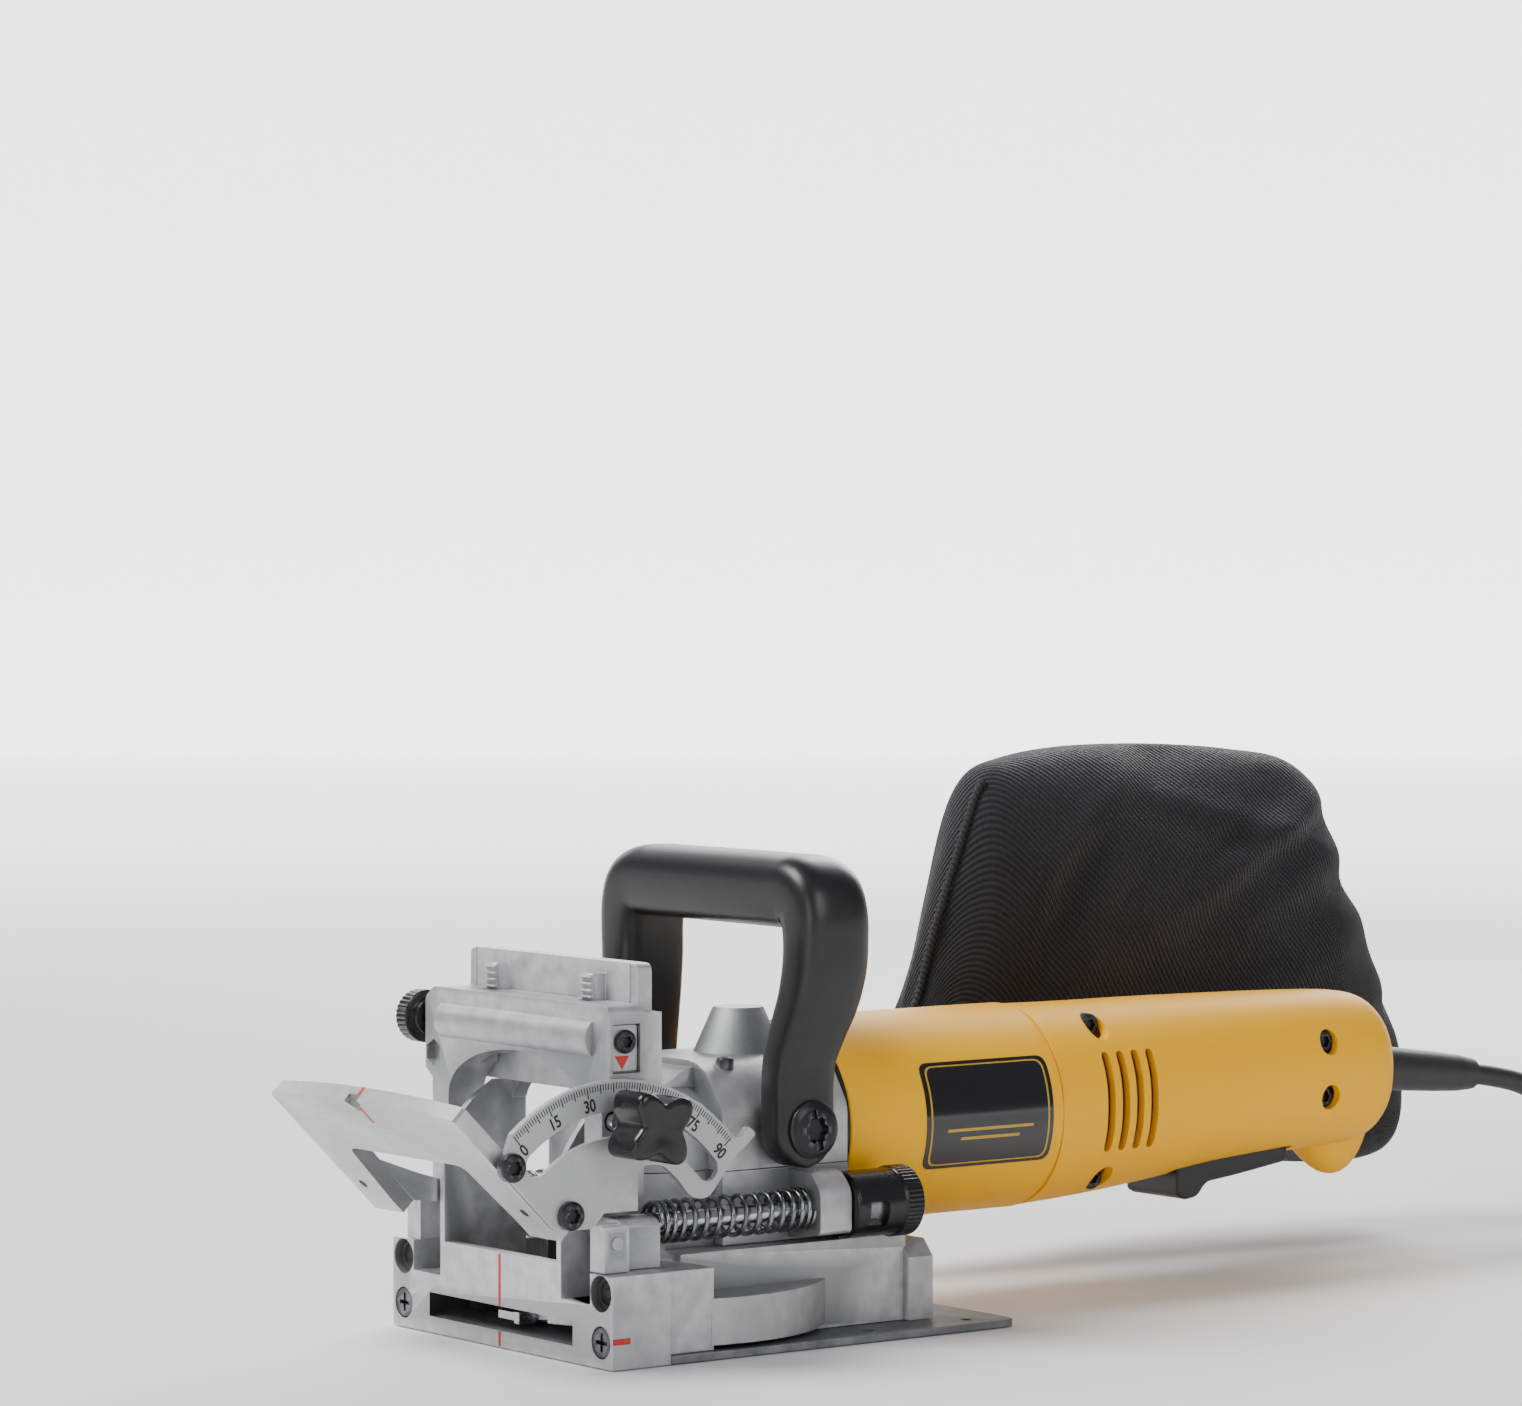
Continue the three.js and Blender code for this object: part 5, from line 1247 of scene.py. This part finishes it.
@dataclass
class Carrier:
    """The rising frame that holds the fence, with its height drive and angle lock."""

    barrel: tuple[float, float] = (10.2, 104.6)
    lock: tuple[float, float] = (10.6, 78.0)

    def build(self) -> None:
        """Make the frame, its pointer, its knobs and their screws."""
        finish_piece(eased_copy("fence_carrier", "rising_frame", 0.6), Body.CARRIER, DIE_CAST)
        pointer = slab("pointer", rounded_profile([[8, 94.4, 1], [18.2, 94.4, 1], [18.2, 109.4, 1],
                                                   [8, 109.4, 1]], closed=True), Plane.YZ, 51.75, 52.65,
                       bevel=0.2)
        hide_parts("angle_pointer")
        finish_piece(pointer, Body.CARRIER, DIE_CAST)
        arrow = slab("pointer_arrow", np.array([[9.4, 99.4], [12.2, 94.9], [15.0, 99.4]]), Plane.YZ, 52.6,
                     52.8)
        finish_piece(arrow, Body.CARRIER, RED_MARK)
        screw = socket_screw("pointer_head", (52.8, 13, 104.0), (1, 0, 0), 3.9, 2.0, Body.CARRIER)
        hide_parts("pointer_screw")
        stud = turned("lock_stud", rounded_profile([[0, 41], [2.9, 41, 0.3], [2.9, 68.9, 0.3], [0, 68.9]]),
                      (0, *self.lock), (1, 0, 0), 32)
        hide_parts("angle_lock_stud")
        finish_piece(stud, Body.CARRIER, BRIGHT_STEEL)
        self.lock_knob()
        self.height_knob()
        dress_node("height_pinion_shaft", BRIGHT_STEEL)

    def lock_knob(self) -> None:
        """The angle lock: four lobes, r(a) = 11 + 2.9 cos 4(a - 0.95), that close along its axis."""
        def grip(r: Array, a: Array, s: Array) -> Array:
            """The lobed radius, on the rows of the grip only."""
            swell = np.clip((s - 62.3) / 1.6, 0, 1) * np.clip(r / 9.0, 0, 1)
            return r * (1 + 0.264 * swell * np.cos(4 * (a - 0.95)))

        profile = rounded_profile([[0, 62.2], [3.4, 62.2], [3.4, 60.8, 0.2], [8.4, 60.8, 0.6],
                                   [8.4, 62.4, 0.5], [11, 63.2, 1.2], [11, 78.9, 2.6], [6, 78.7, 1.5],
                                   [0, 78.2]], steps=8)
        knob = turned("angle_lock", profile, (0, *self.lock), (1, 0, 0), 144, ripple=grip, sharp=50)
        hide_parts("angle_lock_knob")
        finish_piece(knob, Body.LOCK, KNOB_BLACK)

    def height_knob(self) -> None:
        """The height knob: a knurled wheel with a boss and a round socket."""
        profile = rounded_profile([[0, -62], [3.4, -62], [3.4, -65.6, 0.2], [7.6, -65.9, 0.5], [9, -65, 0.6],
                                   [9, -58.6, 0.6], [6.5, -58.2, 0.3], [6.4, -55.6, 0.4], [3.2, -55.5],
                                   [3.2, -60], [0, -60]])
        knob = turned("height_wheel", profile, (0, *self.barrel), (1, 0, 0), 120,
                      ripple=ribs(-65.6, -59, 8.4, 15, 0.4))
        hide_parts("height_knob")
        finish_piece(knob, Body.HEIGHT, KNOB_BLACK)


# ---------------------------------------------------------------- fence


@dataclass
class Fence:
    """The tilting fence with its angle scale."""

    face: float = 57.6
    tick_outer: float = 60.6
    numeral_radius: float = 54.3
    zero_angle: float = 131.0
    rest_angle: float = 45.0

    def build(self) -> None:
        """Make the plate, the quadrant, its scale and its screws."""
        finish_piece(eased_copy("fence_plate", "fence_face", 0.5), Body.FENCE, FENCE_METAL)
        finish_piece(eased_copy("angle_quadrant", "quadrant", 0.25), Body.FENCE, SCALE_WHITE)
        for name, y, z in (("lower", -11.8, 50.0), ("upper", -34.3, 66.9)):
            screw = socket_screw(f"quadrant_bolt_{name}", (58.0, y, z), (1, 0, 0), 4.7, 2.3, Body.FENCE)
            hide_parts(f"quadrant_screw_{name}")
        self.ticks()
        self.numerals()
        self.marks()

    def _at(self, radius: Array | float, reading: Array | float) -> tuple[Array, Array]:
        """A reading's place at a radius about the tilt axis: its angle above +Y is zero_angle - reading."""
        angle = np.radians(self.zero_angle - np.asarray(reading, float))
        return PIVOT[0] + radius * np.cos(angle), PIVOT[1] + radius * np.sin(angle)

    def ticks(self) -> None:
        """A tick for each degree, longer at every fifth and longest at every fifteenth."""
        reading = np.arange(0, 91)
        long = np.where(reading % 15 == 0, 1.9, np.where(reading % 5 == 0, 1.5, 1.05))
        y, z = self._at(self.tick_outer - long, reading)
        count = len(reading)
        centres = np.column_stack([np.full(count, self.face + 0.02), y, z])
        halves = np.column_stack([np.full(count, 0.05), long, np.where(reading % 5 == 0, 0.2, 0.16)])
        turns = np.radians(self.zero_angle - reading)
        finish_piece(boxes("scale_ticks", centres, halves, turns), Body.FENCE, INK)

    def numerals(self) -> None:
        """The scale's numbers, each upright along its own radius."""
        for reading in range(0, 91, 15):
            text = bpy.data.curves.new(f"reading_{reading}", "FONT")
            text.body, text.size, text.extrude = str(reading), 5.6 * MM, 0.05 * MM
            text.align_x, text.align_y = "CENTER", "CENTER"
            text.offset = 0.14 * MM
            made = linked("text", text)
            mesh = bpy.data.meshes.new_from_object(evaluated(made))
            bpy.data.objects.remove(made)
            local = points_of(mesh) / MM
            lean = math.radians(self.zero_angle - 90.0 - reading)
            y0, z0 = self._at(self.numeral_radius, reading)
            y = y0 + local[:, 0] * 0.82 * math.cos(lean) - local[:, 1] * math.sin(lean)
            z = z0 + local[:, 0] * 0.82 * math.sin(lean) + local[:, 1] * math.cos(lean)
            mesh.vertices.foreach_set("co",
                                      to_row(np.column_stack([self.face + 0.02 + local[:, 2], y, z])).ravel())
            piece = dress_mesh(f"numeral_{reading}", mesh, 30.0, 0.001)
            finish_piece(piece, Body.FENCE, INK)

    def marks(self) -> None:
        """The red centre mark across the fence's top edge and down its working face."""
        turn = math.radians(self.rest_angle)
        c, s = math.cos(turn), math.sin(turn)

        def tilted(y: float, u: float) -> tuple[float, float]:
            """A point of the upright fence, turned to its rest angle about the tilt axis."""
            dy = y - PIVOT[0]
            return PIVOT[0] + c * dy - s * u, PIVOT[1] + s * dy + c * u

        top, face = tilted(4.2, 82.62), tilted(-0.02, 76.0)
        centres = np.array([[0, *top], [0, *face]])
        halves = np.array([[0.85, 1.6, 0.06], [0.85, 0.05, 4.2]])
        finish_piece(boxes("fence_mark", centres, halves, np.full(2, turn)), Body.FENCE,
                     RED_MARK)


# ---------------------------------------------------------------- dust collection


@dataclass
class DustCollector:
    """The outlet pipe, its collar and the cloth bag."""

    air_cap: float = 5.0
    outline: tuple[tuple[float, ...], ...] = ((222, 52, 86, -60, -88), (231, 48, 100, -60, -90),
                                              (240, 44, 126, -60, -92), (250, 40, 154, -57, -97),
                                              (261, 35, 180, -53, -103), (278, 31, 187, -48, -111),
                                              (310, 28, 190.5, -45, -119), (350, 26, 190, -45, -120),
                                              (388, 25, 188, -46, -117), (418, 24, 181, -47, -112),
                                              (436, 23, 148, -49, -105), (452, 24, 108, -52, -98),
                                              (463, 28, 84, -56, -92), (468, 38, 66, -62, -84))

    def build(self) -> None:
        """Make the pipe, the collar and the bag with its seam."""
        self.pipe()
        self.collar()
        self.bag()

    def pipe_line(self) -> Array:
        """The pipe's centreline."""
        return smooth_line([[-45.6, 118, 18.5], [-50, 118, 18.5], [-54, 119, 18.7], [-60, 123, 19.5],
                            [-67, 136, 25], [-70.5, 156, 36], [-72, 178, 49], [-73, 200, 60],
                            [-73.5, 212, 66]], 80)

    def pipe(self) -> None:
        """The outlet pipe: a round wall along a bent line."""
        line = self.pipe_line()
        pipe = swept("dust_pipe", line, np.full((len(line), 2), 13.4), (0, -0.45, 0.9), bore=11.5 / 13.5,
                     segments=48)
        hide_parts("dust_chute")
        finish_piece(pipe, Body.BASE, SATIN_BLACK)

    def collar(self) -> None:
        """The ring that holds the bag's neck on the pipe, with two ridges."""
        line = self.pipe_line()
        way = line[-1] - line[-3]
        profile = rounded_profile([[13.8, -9.8], [15.4, -9.8, 0.5], [15.6, -7, 0.5], [16.5, -6.4, 0.4],
                                   [16.5, -4.6, 0.4], [15.6, -4, 0.5], [15.6, -1.8, 0.5], [16.5, -1.2, 0.4],
                                   [16.5, 1.6, 0.5], [13.8, 1.8]], closed=True)
        collar = turned("bag_ring", profile, line[-1], way, 64, ring=True)
        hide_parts("bag_collar")
        finish_piece(collar, Body.BASE, KNOB_BLACK)

    def bag(self) -> None:
        """The bag: sections along Y swell under air pressure, and a pulled fold crosses its near side.

        A section's point is centre + (half width * cos^p, half height * sin^p); a fold is a ridge on a line.
        """
        rows, columns = 72, 88
        table = smooth_line(self.outline, rows)
        angle = np.linspace(-math.pi / 2, 1.5 * math.pi, columns, endpoint=False)[None, :]
        a, b = superellipse(angle, 2.5, 2.9)
        y, bottom, top, outer, inner = (table[:, k:k + 1] for k in range(5))
        x = (outer + inner) / 2 + 0.86 * (outer - inner) / 2 * a
        z = (bottom + top) / 2 + 0.985 * (top - bottom) / 2 * b
        lean = 0.0175 * (z - 60)
        grid = np.stack([x + lean, np.broadcast_to(y, x.shape), z], -1)
        grid = self._folds(grid)
        bag = skin("cloth_bag", grid, sharp=80)
        self._lay_cloth(bag, grid)
        self._inflate(bag)
        bag.modifiers.new("smooth cloth", "SUBSURF").levels = 1
        bag.modifiers["smooth cloth"].render_levels = 1
        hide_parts("dust_bag")
        finish_piece(bag, Body.BASE, TWILL)
        self.seam(bag)
        self.neck()

    def _folds(self, grid: Array) -> Array:
        """Push soft folds into the skin: ridges fade with the distance from slanted lines."""
        y, z = grid[..., 1], grid[..., 2]
        near = np.clip((grid[..., 0] + 80) / 30, 0, 1)
        push = np.zeros_like(y)
        lines = ((268, 96, 424, 172, 9.0, 6.5), (290, 74, 446, 140, -7.0, 8.0),
                 (262, 132, 330, 188, 5.0, 6.0), (250, 64, 300, 160, -5.0, 7.0), (350, 56, 456, 96, 5.5, 7.0),
                 (322, 176, 430, 146, 5.0, 5.5), (300, 118, 360, 160, 4.0, 4.5))
        for y0, z0, y1, z1, tall, wide in lines:
            d = np.array([y1 - y0, z1 - z0], float)
            length = np.linalg.norm(d)
            d /= length
            s = (y - y0) * d[0] + (z - z0) * d[1]
            off = -(y - y0) * d[1] + (z - z0) * d[0]
            fade = np.clip(s / length, 0, 1) * np.clip(1.25 - s / length, 0, 1) * 2.2
            ridge = np.exp(-(off / wide) ** 2) - 0.7 * np.exp(-((off + 1.7 * wide) / wide) ** 2)
            push += tall * np.clip(fade, 0, 1) * ridge
        out = grid.copy()
        out[..., 0] += push * near * 0.8
        out[..., 0] = np.minimum(out[..., 0], -41.5)
        return out

    def _lay_cloth(self, piece: Piece, grid: Array) -> None:
        """Give cloth a UV map in metres along and round its grid, so that the weave keeps its size.

        Args:
            piece: a piece made from the grid, whose points are numbered row by row.
            grid: the (rows, columns, 3) points in millimetres.
        """
        rows, columns = grid.shape[:2]
        round_steps = np.linalg.norm(np.diff(grid, axis=1, append=grid[:, :1]), axis=2).mean(0)
        round_run = np.concatenate([[0.0], np.cumsum(round_steps)]) * MM
        long_steps = np.linalg.norm(np.diff(grid, axis=0), axis=2).mean(1)
        long_run = np.concatenate([[0.0], np.cumsum(long_steps)]) * MM
        mesh = piece.data
        corner, face = np.zeros(len(mesh.loops), dtype=int), np.zeros(len(mesh.loops), dtype=int)
        mesh.loops.foreach_get("vertex_index", corner)
        for polygon in mesh.polygons:
            face[polygon.loop_start:polygon.loop_start + polygon.loop_total] = polygon.index
        row, column = np.minimum(corner // columns, rows - 1), corner % columns
        widest = np.zeros(len(mesh.polygons), dtype=int)
        np.maximum.at(widest, face, column)
        column = np.where((column == 0) & (widest[face] == columns - 1), columns, column)
        mesh.uv_layers.new(name="cloth").data.foreach_set("uv",
                                                          np.column_stack([long_run[row],
                                                                           round_run[column]]).ravel())

    def _inflate(self, bag: Piece) -> None:
        """Swell the bag with a short cloth simulation, held at the neck, and cap how far any point moves."""
        cap = self.air_cap * MM
        before = points_of(bag.data)
        held = bag.vertex_groups.new(name="neck")
        limit = (226 - FRONT_FACE) * MM
        held.add(np.nonzero(before[:, 1] < limit)[0].tolist(), 1.0, "REPLACE")
        cloth = bag.modifiers.new("air", "CLOTH")
        settings = cloth.settings
        settings.use_pressure, settings.uniform_pressure_force = True, 2.2
        settings.vertex_group_mass = "neck"
        settings.tension_stiffness, settings.bending_stiffness = 25.0, 1.5
        settings.effector_weights.gravity = 0.0
        scene = bpy.context.scene
        for step in range(1, 15):
            scene.frame_set(step)
        after = points_of(bag.evaluated_get(bpy.context.evaluated_depsgraph_get()).data)
        bag.modifiers.remove(cloth)
        scene.frame_set(1)
        move = after - before
        size = np.linalg.norm(move, axis=1, keepdims=True)
        move *= np.minimum(1.0, cap / np.maximum(size, 1e-9))
        swollen = before + move
        swollen[:, 0] = np.minimum(swollen[:, 0], -41.0 * MM)
        bag.data.vertices.foreach_set("co", swollen.astype(np.float32).ravel())
        bag.data.update()

    def seam(self, bag: Piece) -> None:
        """The overlocked seam up the bag's front edge: a cord of cloth with thread wound over it."""
        points = points_of(bag.data) / MM + (0, FRONT_FACE, 0)
        near = points[(points[:, 0] > -72) & (points[:, 1] < 300)]
        heights = np.linspace(88, 178, 60)
        line = []
        for z in heights:
            band = near[np.abs(near[:, 2] - z) < 3.2]
            edge = band[np.argsort(band[:, 1])[:4]].mean(0) if len(band) else near.mean(0)
            line.append([edge[0], edge[1], z])
        path = np.array(line)
        for _ in range(6):
            path[1:-1] = (path[:-2] + 2 * path[1:-1] + path[2:]) / 4
        path = smooth_line(path, 240)
        welt = swept("seam_welt", path + (0.8, -0.6, 0), np.full((240, 2), 1.25), (1, 0, 0), segments=12)
        finish_piece(welt, Body.BASE, THREAD)
        wind = TAU * 46 * np.linspace(0, 1, 1400)
        base = smooth_line(path, 1400) + (0.8, -0.6, 0)
        side, up = across(np.gradient(base, axis=0), (1, 0, 0))
        up /= np.linalg.norm(up, axis=1, keepdims=True)
        loop = base + 1.55 * (np.cos(wind)[:, None] * side + np.sin(wind)[:, None] * up)
        thread = swept("seam_thread", loop, np.full((1400, 2), 0.32), (0.3, 0.2, 0.93), segments=6)
        finish_piece(thread, Body.BASE, THREAD)

    def neck(self) -> None:
        """The gathered neck of the bag, a short pleated sleeve over the ring's lip."""
        def pleats(r: Array, a: Array, s: Array) -> Array:
            """Fourteen soft pleats that deepen away from the ring."""
            return r * (1 + 0.035 * np.sin(14 * a) * np.clip((s + 4) / 12, 0, 1))

        line = self.pipe_line()
        way = line[-1] - line[-3]
        profile = rounded_profile([[13.9, 2.4], [16.6, 2.4, 0.4], [17.6, 5, 1], [19.5, 10, 2], [22.5, 16, 2],
                                   [21.5, 16.5], [18.4, 10.5, 2], [15, 5, 1]], closed=True)
        neck = turned("bag_neck", profile, line[-1], way, 112, ripple=pleats, ring=True, sharp=60)
        finish_piece(neck, Body.BASE, THREAD)


# ---------------------------------------------------------------- works inside


def blade_fixing() -> None:
    """The washer and hexagon on the blade; the hexagon is r(a) = r0 cos 30 / cos((a mod 60) - 30)."""
    def hexagon(r: Array, a: Array, s: Array) -> Array:
        """Six flats on the rows of the nut."""
        flats = r * math.cos(math.pi / 6) / np.cos(np.mod(a, math.pi / 3) - math.pi / 6)
        return np.where((s < 6.45) & (r > 0.1), flats, r)

    profile = rounded_profile([[0, 4.75], [7.0, 4.75, 0.2], [7.6, 5.2, 0.2], [7.6, 6.4], [10.6, 6.5, 0.1],
                               [11, 6.8, 0.2], [11, 7.8], [0, 7.8]])
    nut = turned("blade_fixing", profile, (0, FRONT_FACE, 0), (0, 0, 1), 72, ripple=hexagon, sharp=25)
    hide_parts("blade_nut")
    finish_piece(nut, Body.SPINDLE, BRIGHT_STEEL)
    finish_piece(eased_copy("blade", "saw_blade", 0.12), Body.SPINDLE, BLADE_STEEL)


def dress_works() -> None:
    """Finish the solids inside the tool that stay as they are."""
    blade_fixing()
    looks = {BRIGHT_STEEL: ("spindle", "crown_gear", "bevel_pinion", "armature_shaft", "front_bearing",
                            "rear_bearing", "spindle_bearing"), SPRING_STEEL: ("stator",),
             COPPER: ("armature_core", "commutator"), SATIN_BLACK: ("cooling_fan", "brush_holder_left",
                                                                    "brush_holder_right", "switch_module"),}
    for finish, nodes in looks.items():
        for node in nodes:
            dress_node(node, finish)


def main() -> None:
    """Build the studio and the tool."""
    logging.basicConfig(level=logging.INFO, format="%(name)s: %(message)s")
    Studio().build()
    MainsCord().build()
    MotorUnit().build()
    Base().build()
    Carrier().build()
    Fence().build()
    DustCollector().build()
    dress_works()
    bpy.context.view_layer.update()


if __name__ == "__main__":
    main()
